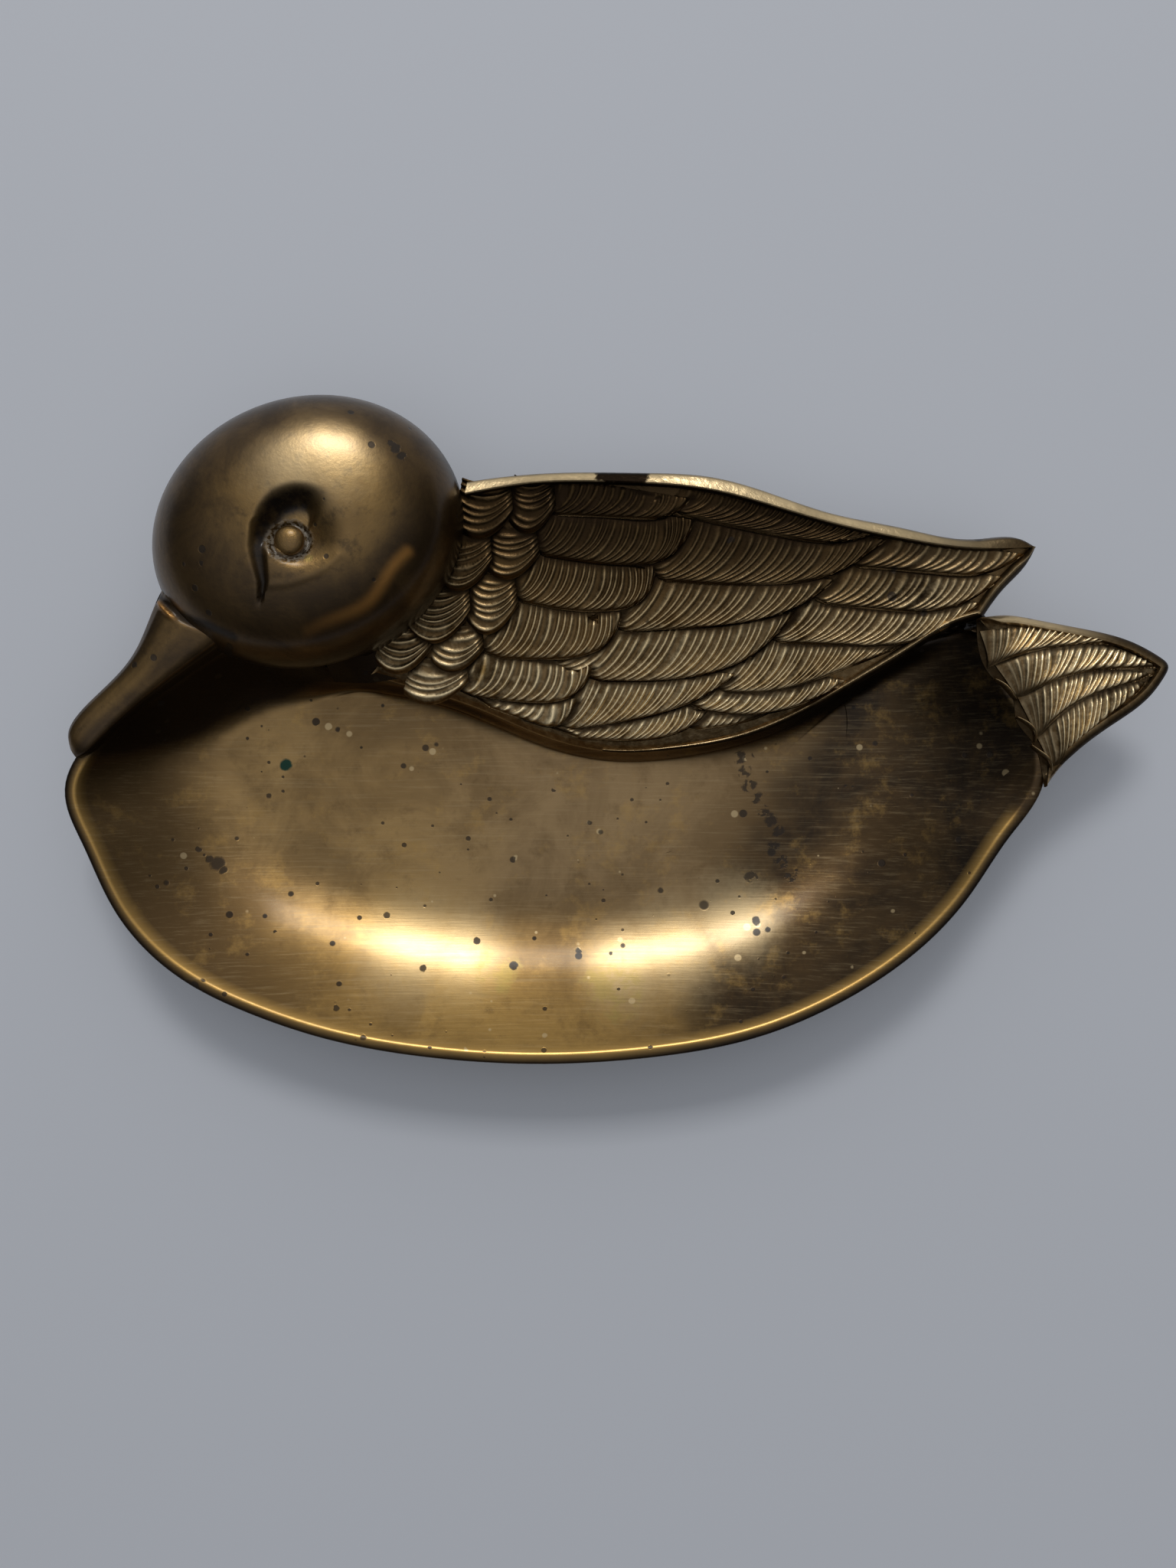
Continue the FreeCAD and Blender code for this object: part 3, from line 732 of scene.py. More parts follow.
def blendWithWing(rings):
    # the bowl passes below the wing's seat, and rises to it in a soft fillet
    depth = np.array([edgeDistance(points, wingPlan[:, :2]) for points in rings])
    seat = np.array([seatHeight(points) for points in rings]) - blend["seatGap"]
    fall = blend["fall"] * np.clip(-depth, 0, blend["fallReach"])
    fall = fall - blend["rise"] * np.clip(-depth - blend["riseFrom"], 0, None)
    allowed = seat - fall + blend["farRise"] * np.clip(-depth - blend["farFrom"], 0, None)
    corner = np.array([np.hypot(*(points[:, :2] - blend["corner"]).T) for points in rings])
    allowed += blend["cornerRise"] * easeIn(corner, *blend["cornerReach"]) * easeIn(depth, -0.4, -2.2)
    heights = np.array([points[:, 2] for points in rings])
    inner = dish["floorRings"] + dish["wallRings"]
    fillet = dish["floor"] + (seat - dish["floor"]) * np.clip(1 + depth / blend["fillet"], 0, 1) ** 2
    heights[:inner] = np.maximum(heights, np.where(depth < 0, fillet, 0))[:inner]
    softer = (heights + allowed - np.hypot(heights - allowed, blend["softness"])) / 2
    lower = np.minimum(heights, allowed)
    eased = (depth < -blend["softFrom"]) & (heights < blend["softBelow"])
    lower[:inner] = np.where(eased, softer, lower)[:inner]
    heights = np.maximum(lower, np.minimum(heights, dish["floor"]))
    soft = (easeIn(depth, -9.0, -6.0) * easeIn(depth, 4.0, 2.0))[1:inner]
    for _ in range(blend["rounds"]):
        around = (np.roll(heights, 1, axis=1) + np.roll(heights, -1, axis=1))[1:inner]
        across = heights[:inner - 1] + heights[2:inner + 1]
        heights[1:inner] += soft * ((around + across) / 4 - heights[1:inner]) * blend["strength"]
    heights = np.where(depth > -0.3, np.minimum(heights, seat), heights)
    for points, height in zip(rings, heights):
        points[:, 2] = height


def makeDish():
    rings, marks = dishRings()
    blendWithWing(rings)
    every = np.vstack(rings)
    # painted shade, with some grime, below the chin and beside the wing's lower right edge
    chin = pixelLine(chinPixels, chinHeight)[:, :2]
    marks["dirt"] = dish["dirt"] * easeIn(edgeDistance(every, chin), -0.9, 1.6)
    wingDepth = edgeDistance(every, wingPlan[:, :2])
    beside = easeIn(wingDepth, -2.4, -1.4) * easeIn(every[:, 0] + 0.3 * every[:, 1], 34.0, 50.0)
    marks["dirt"] = np.maximum(marks["dirt"], 0.95 * beside)
    # the rim is no longer polished, nor given its painted highlight and painted shade, where the wing and
    # the tail cover it
    root = alongShares(tailRootShares, tailSize, 60)
    tailRoot = onTail(np.column_stack([root, np.zeros(len(root))]))
    covered = np.maximum(easeIn(wingDepth, -6.0, -2.0), easeIn(lineDistance(every, tailRoot), 9.0, 5.0))
    for name in ("rim", "outer"):
        marks[name] = marks[name] * (1 - covered)
    shells = [ringShell(rings, marks)]
    shells.append(prism(inset(wingOutline, wing["bankInset"]), -wing["bankThickness"], -0.02, onWing))
    shells += [headBand(), fillShell(neck), fillShell(notch)]
    # the bank, the band under the head and the fillings are dark all over: painted shade
    for shell in shells[1:]:
        shell.marks = {"dirt": np.full(len(shell.points), dish["dirt"])}
    piece = makePiece("dishBody", shells)
    finishPiece(piece, bowlBrass(), "dish")


def prism(line, low, high, place):
    # a flat plate with this outline, put in its place
    rings = [place(np.column_stack([line, np.full(len(line), float(height))])) for height in (low, high)]
    return ringShell(rings, pole=False)


head = {
    "middle": (-43.5, 48.4), "long": 26.57, "short": 21.77, "rise": 17.0, "yaw": 21.8, "wall": 2.6,
    "crown": 3.0, "roundness": 2.5, "around": 320, "rings": 110, "socketDepth": 3.3,
    "landInset": 0.5, "landWidth": 3.2, "landThickness": 2.0, "landCount": 160,
    "hollowRings": 20, "inside": 0.6,
}


def headLine(drawn, share=1.0, shift=0.0, count=None):
    # a level outline of the head, drawn inwards by so much
    angles = np.linspace(0, 2 * math.pi, count or head["around"], endpoint=False)
    long, short = (head["long"] - drawn) * share, (head["short"] - drawn) * share
    flat = np.column_stack([long * np.cos(angles), short * np.sin(angles)])
    return np.array(head["middle"]) + flat @ turned(head["yaw"])[:2, :2] + np.array([0, shift])


def headBand():
    # the flat band under the head's edge, and the neck's wall down to the wing's bank
    outer, inner = (headLine(drawn, count=head["landCount"])
                    for drawn in (head["landInset"], head["landInset"] + head["landWidth"]))
    top = dish["rimHeight"] - 0.02
    under = dish["rimHeight"] - head["landThickness"]
    points = np.column_stack([outer, outer[:, :1]])
    low = np.where(isInside(points, wingPlan), np.minimum(under, seatHeight(points) - 1.0), under)
    for _ in range(3):
        low = np.minimum(low, (np.roll(low, 1) + np.roll(low, -1)) / 2 + 0.8)
    count = len(outer)
    level = np.full(count, top)
    rings = [np.column_stack(pair) for pair in ((outer, low), (outer, level), (inner, level), (inner, low))]
    faces = []
    for row in range(4):
        here, beyond = row * count, (row + 1) % 4 * count
        for i in range(count):
            after = (i + 1) % count
            faces.append((here + i, here + after, beyond + after, beyond + i))
    return Shell(np.vstack(rings), faces).facedOut()


# Fillings with painted shade, by the pixel and the height of each upper corner
notch = {"low": 8.0, "thick": 2.4, "corners": [
    (1250, 814, 10.0), (1268, 798, 10.2), (1285, 803, 10.6), (1294, 813, 16.0), (1296, 832, 16.2),
    (1274, 840, 12.5)]}
neck = {"low": 4.0, "thick": 11.0, "corners": [
    (418, 850, 15.0), (455, 820, 15.0), (500, 800, 14.0), (530, 815, 11.5), (532, 850, 9.9),
    (524, 886, 8.3), (480, 892, 6.6), (436, 890, 7.0)]}


def fillShell(fill):
    # a filling with painted shade: between the head and the wing's first feathers, or between the wing and
    # the tail
    top = np.array([atPixel(*corner) for corner in fill["corners"]])
    bottom = top.copy()
    bottom[:, 2] = np.maximum(fill["low"], top[:, 2] - fill["thick"])
    return ringShell([bottom, top])


makeDish()


# Lower edge of each long feather from its root to the top of its tip, as shares of the wing
longFeathers = [
    [(0.164, -0.090), (0.280, -0.077), (0.364, -0.046), (0.394, 0.009)],
    [(0.385, -0.052), (0.541, -0.081), (0.667, -0.076), (0.736, -0.028)],
    [(0.698, -0.155), (0.827, -0.150), (0.925, -0.125), (0.980, -0.055)],
    [(0.148, -0.225), (0.268, -0.231), (0.373, -0.173), (0.405, -0.058)],
    [(0.364, -0.266), (0.534, -0.245), (0.656, -0.183), (0.740, -0.054)],
    [(0.650, -0.288), (0.766, -0.285), (0.872, -0.250), (0.952, -0.135)],
    [(0.117, -0.385), (0.250, -0.390), (0.332, -0.323), (0.348, -0.218)],
    [(0.309, -0.448), (0.469, -0.395), (0.605, -0.299), (0.663, -0.202)],
    [(0.581, -0.430), (0.689, -0.416), (0.815, -0.376), (0.922, -0.228)],
    [(0.085, -0.581), (0.188, -0.563), (0.276, -0.488), (0.298, -0.380)],
    [(0.268, -0.624), (0.399, -0.592), (0.536, -0.478), (0.602, -0.320)],
    [(0.495, -0.618), (0.582, -0.595), (0.683, -0.511), (0.805, -0.388)],
    [(0.039, -0.723), (0.143, -0.724), (0.224, -0.678), (0.257, -0.576)],
    [(0.228, -0.803), (0.346, -0.739), (0.451, -0.645), (0.513, -0.551)],
    [(0.461, -0.689), (0.551, -0.684), (0.637, -0.626), (0.712, -0.532)],
    [(0.074, -0.756), (0.146, -0.790), (0.199, -0.796), (0.235, -0.687)],
    [(0.242, -0.832), (0.342, -0.818), (0.431, -0.760), (0.478, -0.681)],
    [(0.459, -0.756), (0.520, -0.725), (0.585, -0.664), (0.627, -0.589)]]

# The small feathers behind the head: pixels of their left, top, right and bottom
smallFeathers = [
    (602, 640, 672, 704), (575, 702, 645, 772), (641, 700, 705, 757), (540, 765, 616, 840),
    (617, 760, 677, 828), (498, 818, 565, 880), (570, 828, 632, 878), (535, 872, 612, 920),
    (672, 636, 726, 697)]


# How the feathers swell, in millimetres, and how uneven their barbs are
feather = {
    "samples": 6, "foot": 0.6, "rootBack": 1.5, "topRise": 1.4, "lean": 0.35, "spread": 0.92,
    "tipRise": 0.75, "tipCurve": 1.3, "edgeRise": 0.75, "unevenPitch": 0.16, "wave": 0.16, "sway": 0.14,
    "leastBarbs": 8,
}
smallFeather = {
    "widerLeft": 8, "higherTop": 16, "plate": 0.1, "tipRise": 1.0, "sideRise": 0.45, "turnRise": 0.35,
    "leastBarbs": 5,
}


def blade(path, barbs, rise, across=12, order=0.0, fade=0.72):
    # one feather: path(p, t) gives plan places for barb p and share t along it, rise(p, t) the height
    p = np.linspace(0, 1, barbs * feather["samples"] + 1)
    t = np.linspace(0, 1, across + 1)
    pGrid, tGrid = np.meshgrid(p, t, indexing="ij")
    flat = path(pGrid.ravel(), tGrid.ravel())
    heights = rise(pGrid.ravel(), tGrid.ravel())
    rows, columns = len(p), len(t)
    faces = []
    for i in range(rows - 1):
        for j in range(columns - 1):
            a = i * columns + j
            faces.append((a, a + columns, a + columns + 1, a + 1))
    edge = [i * columns for i in range(rows)]
    edge += [(rows - 1) * columns + j for j in range(1, columns)]
    edge += [i * columns + columns - 1 for i in range(rows - 2, -1, -1)]
    edge += [j for j in range(columns - 2, 0, -1)]
    points = np.column_stack([flat, heights])
    low = points[edge].copy()
    low[:, 2] = feather["foot"]
    start = len(points)
    points = np.vstack([points, low])
    count = len(edge)
    for i in range(count):
        after = (i + 1) % count
        faces.append((edge[i], start + i, start + after, edge[after]))
    faces.append(tuple(start + i for i in range(count))[::-1])
    extra = np.zeros(count)
    weight = easeIn(tGrid, 1.0, fade) * easeIn(tGrid, -0.05, 0.06)
    barb = pGrid * barbs
    barb = (barb + feather["wave"] * np.sin(1.9 * barb + order)
            + feather["sway"] * np.sin(4.0 * tGrid + 1.3 * barb + 2.0 * order))
    marks = {"barb": np.append(barb.ravel(), extra), "lift": np.append(weight.ravel(), extra),
             "feather": np.full(len(points), float(order))}
    shell = Shell(points, faces, marks)
    shell.outline = points[edge][:, :2]
    shell.grid = rows * columns
    shell.edge = points[[i * columns + columns - 1 for i in range(0, rows, 2)]
                        + [(rows - 1) * columns + j for j in range(columns)]]
    return shell


def sinkCovered(blades):
    # where a feather lies under another, it sinks and has no barbs, so that none come through
    tops = [shell.points[:shell.grid].copy() for shell in blades]
    for shell, top in zip(blades, tops):
        covered = np.zeros(len(top))
        for other, above in zip(blades, tops):
            if other is shell:
                continue
            low, high = other.outline.min(axis=0), other.outline.max(axis=0)
            close = np.all((top[:, :2] > low) & (top[:, :2] < high), axis=1)
            close[close] = isInside(top[close], other.outline)
            if not close.any():
                continue
            gap = top[close][:, None, :2] - above[None, :, :2]
            near = np.argmin(np.sum(gap * gap, axis=2), axis=1)
            over = above[near, 2] > top[close][:, 2]
            away = lineDistance(top[close], np.vstack([other.outline, other.outline[:1]]))
            covered[close] = np.maximum(covered[close], np.where(over, easeIn(away, 0.0, 0.9), 0.0))
        shell.points[:shell.grid, 2] -= wing["sink"] * covered
        shell.marks["lift"][:shell.grid] *= 1 - covered


def markGrooves(blades, wide):
    # rounds each feather down at its own edge, and paints shade on it below the edges that lie over it
    for shell in blades:
        gap = shell.points[:, None, :2] - shell.edge[None, :, :2]
        within = np.min(np.hypot(gap[:, :, 0], gap[:, :, 1]), axis=1)
        top = shell.points[:, 2] > 0.7
        shell.points[:, 2] -= np.where(top, wing["edgeDrop"] * easeIn(within, 1.0, 0.0) ** 1.5, 0.0)
        shell.marks["lift"] = shell.marks["lift"] * easeIn(within, 0.25, 0.95)
        shell.marks["plain"] = np.where(top, 0.5 * easeIn(within, 1.0, 0.4), 0.0)
    for shell in blades:
        dark = np.zeros(len(shell.points))
        for other in blades:
            if other is shell:
                continue
            gap = shell.points[:, None, :] - other.edge[None, :, :]
            flat = np.hypot(gap[:, :, 0], gap[:, :, 1])
            near = np.argmin(flat, axis=1)
            rows = np.arange(len(shell.points))
            below = gap[rows, near, 2] < -0.25
            dark = np.maximum(dark, np.where(below, easeIn(flat[rows, near], wide, 0.15), 0.0))
        shell.marks["groove"] = dark
        shell.marks["lift"] = shell.marks["lift"] * (1 - dark)


def longBlade(shares, order):
    # a long feather: its barbs curve down from the top and back along its lower edge
    edge = np.array(shares) * wingSize
    lower = spline(edge)
    length = np.linalg.norm(edge[-1] - edge[0])
    corner = np.array([edge[0, 0] - feather["rootBack"],
                       wing["raisedTops"].get(order, edge[-1, 1] + feather["topRise"])])
    backwards = edge[0] - edge[1]
    backwards = backwards / np.linalg.norm(backwards) + np.array([0, feather["lean"]])
    lag = wing["barbLag"]

    def lowerAt(share):
        inside = lower(np.clip(share, 0, 1))
        return inside + np.clip(-share, 0, None)[:, None] * backwards * length

    def path(p, t):
        top = corner + (edge[-1] - corner) * (p ** feather["spread"])[:, None]
        base = lowerAt(p)
        turn = t * math.pi / 2
        return lowerAt(p - lag * (1 - np.cos(turn))) + (1 - np.sin(turn))[:, None] * (top - base)

    tipRise = wing["tipRise"].get(order, 1.0)

    def rise(p, t):
        swell = feather["edgeRise"] * np.sin(t * math.pi / 2)
        return wing["plate"] + feather["tipRise"] * tipRise * p ** feather["tipCurve"] + swell

    uneven = 1 + feather["unevenPitch"] * math.sin(order * 2.4)
    barbs = max(feather["leastBarbs"], round(length / wing["barbPitch"] * uneven))
    return blade(path, barbs, rise, across=16, order=order)


def smallBlade(box, order):
    # a small feather: barbs from left to right that sag towards its lower edge
    left, top, right, bottom = box
    left, top = left - smallFeather["widerLeft"], top - smallFeather["higherTop"]
    width, height = right - left, bottom - top
    corners = {
        "leftTop": (left + 0.12 * width, top), "leftLow": (left, bottom - 0.20 * height),
        "rightTop": (right - 0.05 * width, top), "rightLow": (right, top + 0.55 * height),
        "bottom": (left + 0.48 * width, bottom)}
    spots = {name: toWing(*pixel) for name, pixel in corners.items()}
    depth = np.linalg.norm(spots["leftLow"] - spots["leftTop"])

    def path(p, t):
        p, t = p[:, None], t[:, None]
        start = spots["leftTop"] + (spots["leftLow"] - spots["leftTop"]) * p
        stop = spots["rightTop"] + (spots["rightLow"] - spots["rightTop"]) * p
        middle = (spots["rightLow"] + spots["leftLow"]) / 2
        sag = (spots["bottom"] - middle) * (0.25 + 0.75 * p)
        bulge = 1 - np.abs(2 * t - 1) ** 2.0
        return start + (stop - start) * t + sag * bulge

    def rise(p, t):
        side = 1 - np.abs(2 * t - 1) ** 3
        return (wing["plate"] + smallFeather["plate"] + smallFeather["tipRise"] * p
                + smallFeather["sideRise"] * side + smallFeather["turnRise"] * t)

    barbs = max(smallFeather["leastBarbs"], round(depth / wing["smallPitch"]))
    return blade(path, barbs, rise, across=16, order=order, fade=0.86)


def rimShell():
    # the raised rim: its polished facet, with a painted highlight, falls outwards; its inner side is steep,
    # with painted shade
    count = 160
    spots = np.linspace(0, 1, count)
    outer = alongShares(wingRimShares, wingSize, count)
    inner = alongShares(wingRimInnerShares, wingSize, count)
    along = np.gradient(outer, axis=0)
    side = np.column_stack([-along[:, 1], along[:, 0]]) / np.linalg.norm(along, axis=1)[:, None]
    fade = easeIn(spots, 1.0, 0.90)[:, None]
    taper = easeIn(spots, 1.02, 0.86)
    high = wing["plate"] + (wing["rimHeight"] - wing["plate"]) * (0.35 + 0.65 * taper)
    mid = 0.9 + (wing["rimOuterHeight"] - 0.9) * (0.4 + 0.6 * taper)
    foot, low, lower = (np.full(count, height) for height in (0.02, 1.2, 0.5))
    rows = [
        (outer, foot), (outer, mid * 0.6), (outer - side * 0.12, mid),
        (outer - side * 0.35, mid + 0.28), (outer + (inner - outer) * 0.55, (mid + high) / 2 + 0.12),
        (inner + side * 0.25 * fade, high), (inner, high - 0.08),
        (inner - side * 0.30 * fade, high - 0.6), (inner - side * 0.55 * fade, low),
        (inner - side * 0.7 * fade, lower), (inner, foot)]
    section = [np.column_stack([line, height]) for line, height in rows]
    rings = [np.array([row[i] for row in section]) for i in range(count)]
    shine = np.array([0.0, 0.3, 0.8, 1.0, 1.0, 0.8, 0.2, 0.0, 0.0, 0.0, 0.0])
    marks = {"polish": np.concatenate([shine * fall for fall in easeIn(spots, 1.0, 0.70)]),
             "groove": np.tile([0.0, 0, 0, 0, 0, 0, 0.3, 0.8, 1.0, 1.0, 1.0], count)}
    return ringShell(rings, marks, pole=False)


def wingPlate():
    # the plate under the feathers, softer, polished and with a painted highlight along its lower edge
    rings, lines = [], []
    where = np.arange(len(wingOutline))
    low = easeIn(where, *wing["lowFrom"]) * easeIn(where, *wing["lowTo"])
    for drawn, height, soft in ((0.0, 0.0, 0.0), (0.0, 0.5, 0.12), (0.35, 0.95, 0.35), (0.9, 1.15, 0.7),
                                (1.7, wing["plate"], wing["plate"])):
        line = inset(wingOutline, drawn)
        rings.append(np.column_stack([line, height + (soft - height) * low]))
        lines.append(0.7 * low * (drawn < 0.3))
    plain = np.full(len(line) * len(rings), 0.15)
    return ringShell(rings, {"plain": plain, "polish": np.concatenate(lines)}, pole=False)


def lipShell():
    # the thick rounded edge from the wing's tip back along its lower right side, with painted shade on its
    # outer side and polish with a painted highlight along its top
    line = np.vstack([alongShares(wingTipShares, wingSize, 40, last=False),
                      alongShares(wingLowerShares, wingSize, 110, until=0.62)])
    spots = np.linspace(0, 1, len(line))
    high = 0.7 + 2.2 * easeIn(spots, 0.95, 0.25)
    wide = 0.5 + 1.3 * easeIn(spots, 1.0, 0.3) * easeIn(spots, -0.02, 0.1)
    rows = [(0.0, 0.02), (0.0, 0.40), (0.25, 0.72), (0.6, 0.92), (0.85, 1.0), (1.0, 0.92), (1.15, 0.5),
            (1.2, 0.05)]
    shell = sweep(line, rows, high, wide)
    shell.marks = {"groove": np.tile([1.0, 1.0, 1.0, 0.85, 0.15, 0.1, 0.5, 0.8], len(line)),
                   "plain": np.tile([0, 0, 0, 0.5, 1.0, 0.8, 0, 0], len(line)),
                   "polish": np.tile([0, 0, 0, 0.0, 0.45, 0.3, 0, 0], len(line))}
    return shell


def barbTree(material):
    # raises the barbs on feather blades: a rounded ridge at each whole number of "barb"
    tree = bpy.data.node_groups.new("raiseBarbs", "GeometryNodeTree")
    face = tree.interface
    face.new_socket("Geometry", in_out="INPUT", socket_type="NodeSocketGeometry")
    for name, value in (("Barb height", 0.0003), ("Sharpness", 1.5), ("Unevenness", 0.25)):
        socket = face.new_socket(name, in_out="INPUT", socket_type="NodeSocketFloat")
        socket.default_value = value
    face.new_socket("Seed", in_out="INPUT", socket_type="NodeSocketInt").default_value = 1
    face.new_socket("Geometry", in_out="OUTPUT", socket_type="NodeSocketGeometry")
    nodes, links = tree.nodes, tree.links
    given, result = nodes.new("NodeGroupInput"), nodes.new("NodeGroupOutput")

    def put(socket, value):
        if isinstance(value, bpy.types.NodeSocket):
            links.new(value, socket)
        else:
            socket.default_value = value

    def maths(operation, a, b=0.0):
        node = nodes.new("ShaderNodeMath")
        node.operation = operation
        put(node.inputs[0], a)
        put(node.inputs[1], b)
        return node.outputs[0]

    def named(name):
        node = nodes.new("GeometryNodeInputNamedAttribute")
        node.data_type = "FLOAT"
        node.inputs["Name"].default_value = name
        return node.outputs["Attribute"]

    barb, lift, order = named("barb"), named("lift"), named("feather")
    wave = maths("COSINE", maths("MULTIPLY", barb, 2 * math.pi))
    ridge = maths("POWER", maths("MULTIPLY", maths("ADD", wave, 1.0), 0.5), given.outputs["Sharpness"])
    chance = nodes.new("FunctionNodeRandomValue")
    chance.data_type = "FLOAT"
    which = maths("ADD", maths("ROUND", barb), maths("MULTIPLY", order, 100.0))
    asWhole = nodes.new("FunctionNodeFloatToInt")
    put(asWhole.inputs[0], which)
    put(chance.inputs["ID"], asWhole.outputs[0])
    put(chance.inputs["Seed"], given.outputs["Seed"])
    share = maths("SUBTRACT", 1.0, maths("MULTIPLY", chance.outputs[1], given.outputs["Unevenness"]))
    relief = maths("MULTIPLY", maths("MULTIPLY", ridge, lift), share)
    offset = nodes.new("ShaderNodeVectorMath")
    offset.operation = "SCALE"
    put(offset.inputs[0], nodes.new("GeometryNodeInputNormal").outputs[0])
    put(offset.inputs["Scale"], maths("MULTIPLY", relief, given.outputs["Barb height"]))
    move = nodes.new("GeometryNodeSetPosition")
    put(move.inputs["Geometry"], given.outputs["Geometry"])
    put(move.inputs["Offset"], offset.outputs[0])
    store = nodes.new("GeometryNodeStoreNamedAttribute")
    store.data_type = "FLOAT"
    store.domain = "POINT"
    store.inputs["Name"].default_value = "relief"
    put(store.inputs["Geometry"], move.outputs[0])
    put(store.inputs["Value"], relief)
    realize = nodes.new("GeometryNodeRealizeInstances")
    put(realize.inputs[0], store.outputs[0])
    paint = nodes.new("GeometryNodeSetMaterial")
    put(paint.inputs["Geometry"], realize.outputs[0])
    paint.inputs["Material"].default_value = material
    put(result.inputs[0], paint.outputs[0])
    return tree


def withBarbs(piece, tree, values):
    # runs the tree on a piece and keeps what it gives as a plain mesh
    modifier = piece.modifiers.new("barbs", "NODES")
    modifier.node_group = tree
    for item in tree.interface.items_tree:
        if item.in_out == "INPUT" and item.name in values:
            modifier[item.identifier] = values[item.name]
    bpy.context.view_layer.update()
    seen = piece.evaluated_get(bpy.context.evaluated_depsgraph_get())
    mesh = bpy.data.meshes.new_from_object(seen)
    piece.modifiers.remove(modifier)
    piece.data = mesh
    mesh.name = piece.name


featherMaterial = featherBrass()
raisedBarbs = barbTree(featherMaterial)


def finishFeathers(name, shells, place, seed, node):
    # puts the feathers in their place, raises their barbs and hands the piece over
    for shell in shells:
        shell.points = place(shell.points)
        shell.facedOut()
    piece = makePiece(name, shells)
    withBarbs(piece, raisedBarbs, {"Barb height": wing["barbHeight"] * millimetre,
                                   "Sharpness": wing["barbSharpness"], "Seed": seed})
    finishPiece(piece, featherMaterial, node)


def makeWing():
    # the feathers in their order, on the plate, with the rim above and the rounded edge below
    shells = []
    for order, shares in enumerate(longFeathers):
        shell = longBlade(shares, order)
        shell.marks["lift"] *= wing["rowLift"][order]
        shells.append(shell)
    for order, box in enumerate(smallFeathers):
        shell = smallBlade(box, order + len(longFeathers))
        shell.marks["lift"] *= wing["smallLift"]
        shells.append(shell)
    sinkCovered(shells)
    markGrooves(shells, wing["groove"])
    shells += [wingPlate(), rimShell(), lipShell()]
    finishFeathers("wingFeathers", shells, onWing, wing["seed"], "wing")


makeWing()


def toTail(px, py):
    # where a pixel of the picture meets the tail, in the tail's own frame
    return atPixel(px, py, tail["seat"] + 1.8)[:2] - np.array(tail["start"])


# Pixels of each tail feather's lower edge, from its root to its tip, and of its upper edge
tailFeathers = [
    [(1292, 872), (1333, 855), (1393, 845), (1437, 842), (1480, 848), (1506, 856)],
    [(1330, 912), (1360, 897), (1393, 885), (1437, 876), (1480, 874), (1512, 872)],
    [(1355, 966), (1384, 935), (1415, 915), (1458, 899), (1490, 888), (1506, 880)],
    [(1376, 1008), (1398, 982), (1430, 953), (1460, 928), (1484, 908), (1500, 890)]]
tailUppers = [
    [(1282, 824), (1350, 818), (1420, 828), (1506, 856)],
    [(1300, 866), (1380, 845), (1450, 845), (1512, 872)],
    [(1330, 908), (1380, 888), (1450, 874), (1506, 880)],
    [(1354, 958), (1400, 918), (1450, 896), (1500, 890)]]
# Pixels of the thin raised line along the feathers' roots
tailScallops = [
    [(1302, 886), (1315, 895), (1326, 908), (1331, 914)],
    [(1331, 936), (1344, 944), (1354, 956), (1355, 969)],
    [(1350, 973), (1361, 982), (1372, 992), (1375, 1001), (1375, 1010)]]


def tailBlade(lowerPixels, upperPixels, order):
    # one tail feather between its two edges, bare near its root and darkened there with painted shade
    lower = spline(np.array([toTail(*pixel) for pixel in lowerPixels]))
    upper = spline(np.array([toTail(*pixel) for pixel in upperPixels]))
    length = np.linalg.norm(toTail(*lowerPixels[-1]) - toTail(*lowerPixels[0]))
    over = 0.25 * (tail["lastOrder"] - order) / 3

    def path(p, t):
        low, high = lower(p ** 1.5), upper(p ** 0.85)
        bulge = 0.45 * np.sin(math.pi * t)[:, None] * np.array([0.8, -0.6])
        return high + (low - high) * t[:, None] + bulge

    def rise(p, t):
        return tail["plate"] + 0.45 + 0.55 * np.sqrt(t) + over - 0.9 * easeIn(p, 0.25, 0.0)

    barbs = max(feather["leastBarbs"], round(length / tail["barbPitch"]))
    shell = blade(path, barbs, rise, order=order)
    root = lineDistance(shell.points, np.array([lower(0)[0], upper(0)[0]]))
    shell.marks["lift"] = shell.marks["lift"] * (0.25 + 0.75 * easeIn(root, 0.5, 5.0))
    shell.root = easeIn(root, 6.0, 1.5)
    return shell


def roundedTip(line, start, stop):
    # softens the corner between two points of a line
    for _ in range(tail["tipRounds"]):
        line[start:stop] = (line[start - 1:stop - 1] + line[start + 1:stop + 1]) / 2
    return line


def scallopStrip(pixels):
    # a thin raised line that fades at both ends
    line = spline(np.array([toTail(*pixel) for pixel in pixels]))(np.linspace(0, 1, 24))
    rows = [(-0.5, 0.02), (-0.45, 0.7), (-0.25, 0.95), (0.0, 1.0), (0.25, 0.9), (0.45, 0.6), (0.5, 0.02)]
    ends = np.sin(np.linspace(0.06, 0.94, len(line)) * math.pi)
    shell = sweep(line, rows, 0.6 + 1.2 * ends ** 0.5, 0.30 + 0.35 * ends)
    # polish with a painted highlight along the middle of the line
    shell.marks = {"polish": np.repeat(0.6 * ends, len(rows)), "plain": np.full(len(shell.points), 0.8)}
    return shell


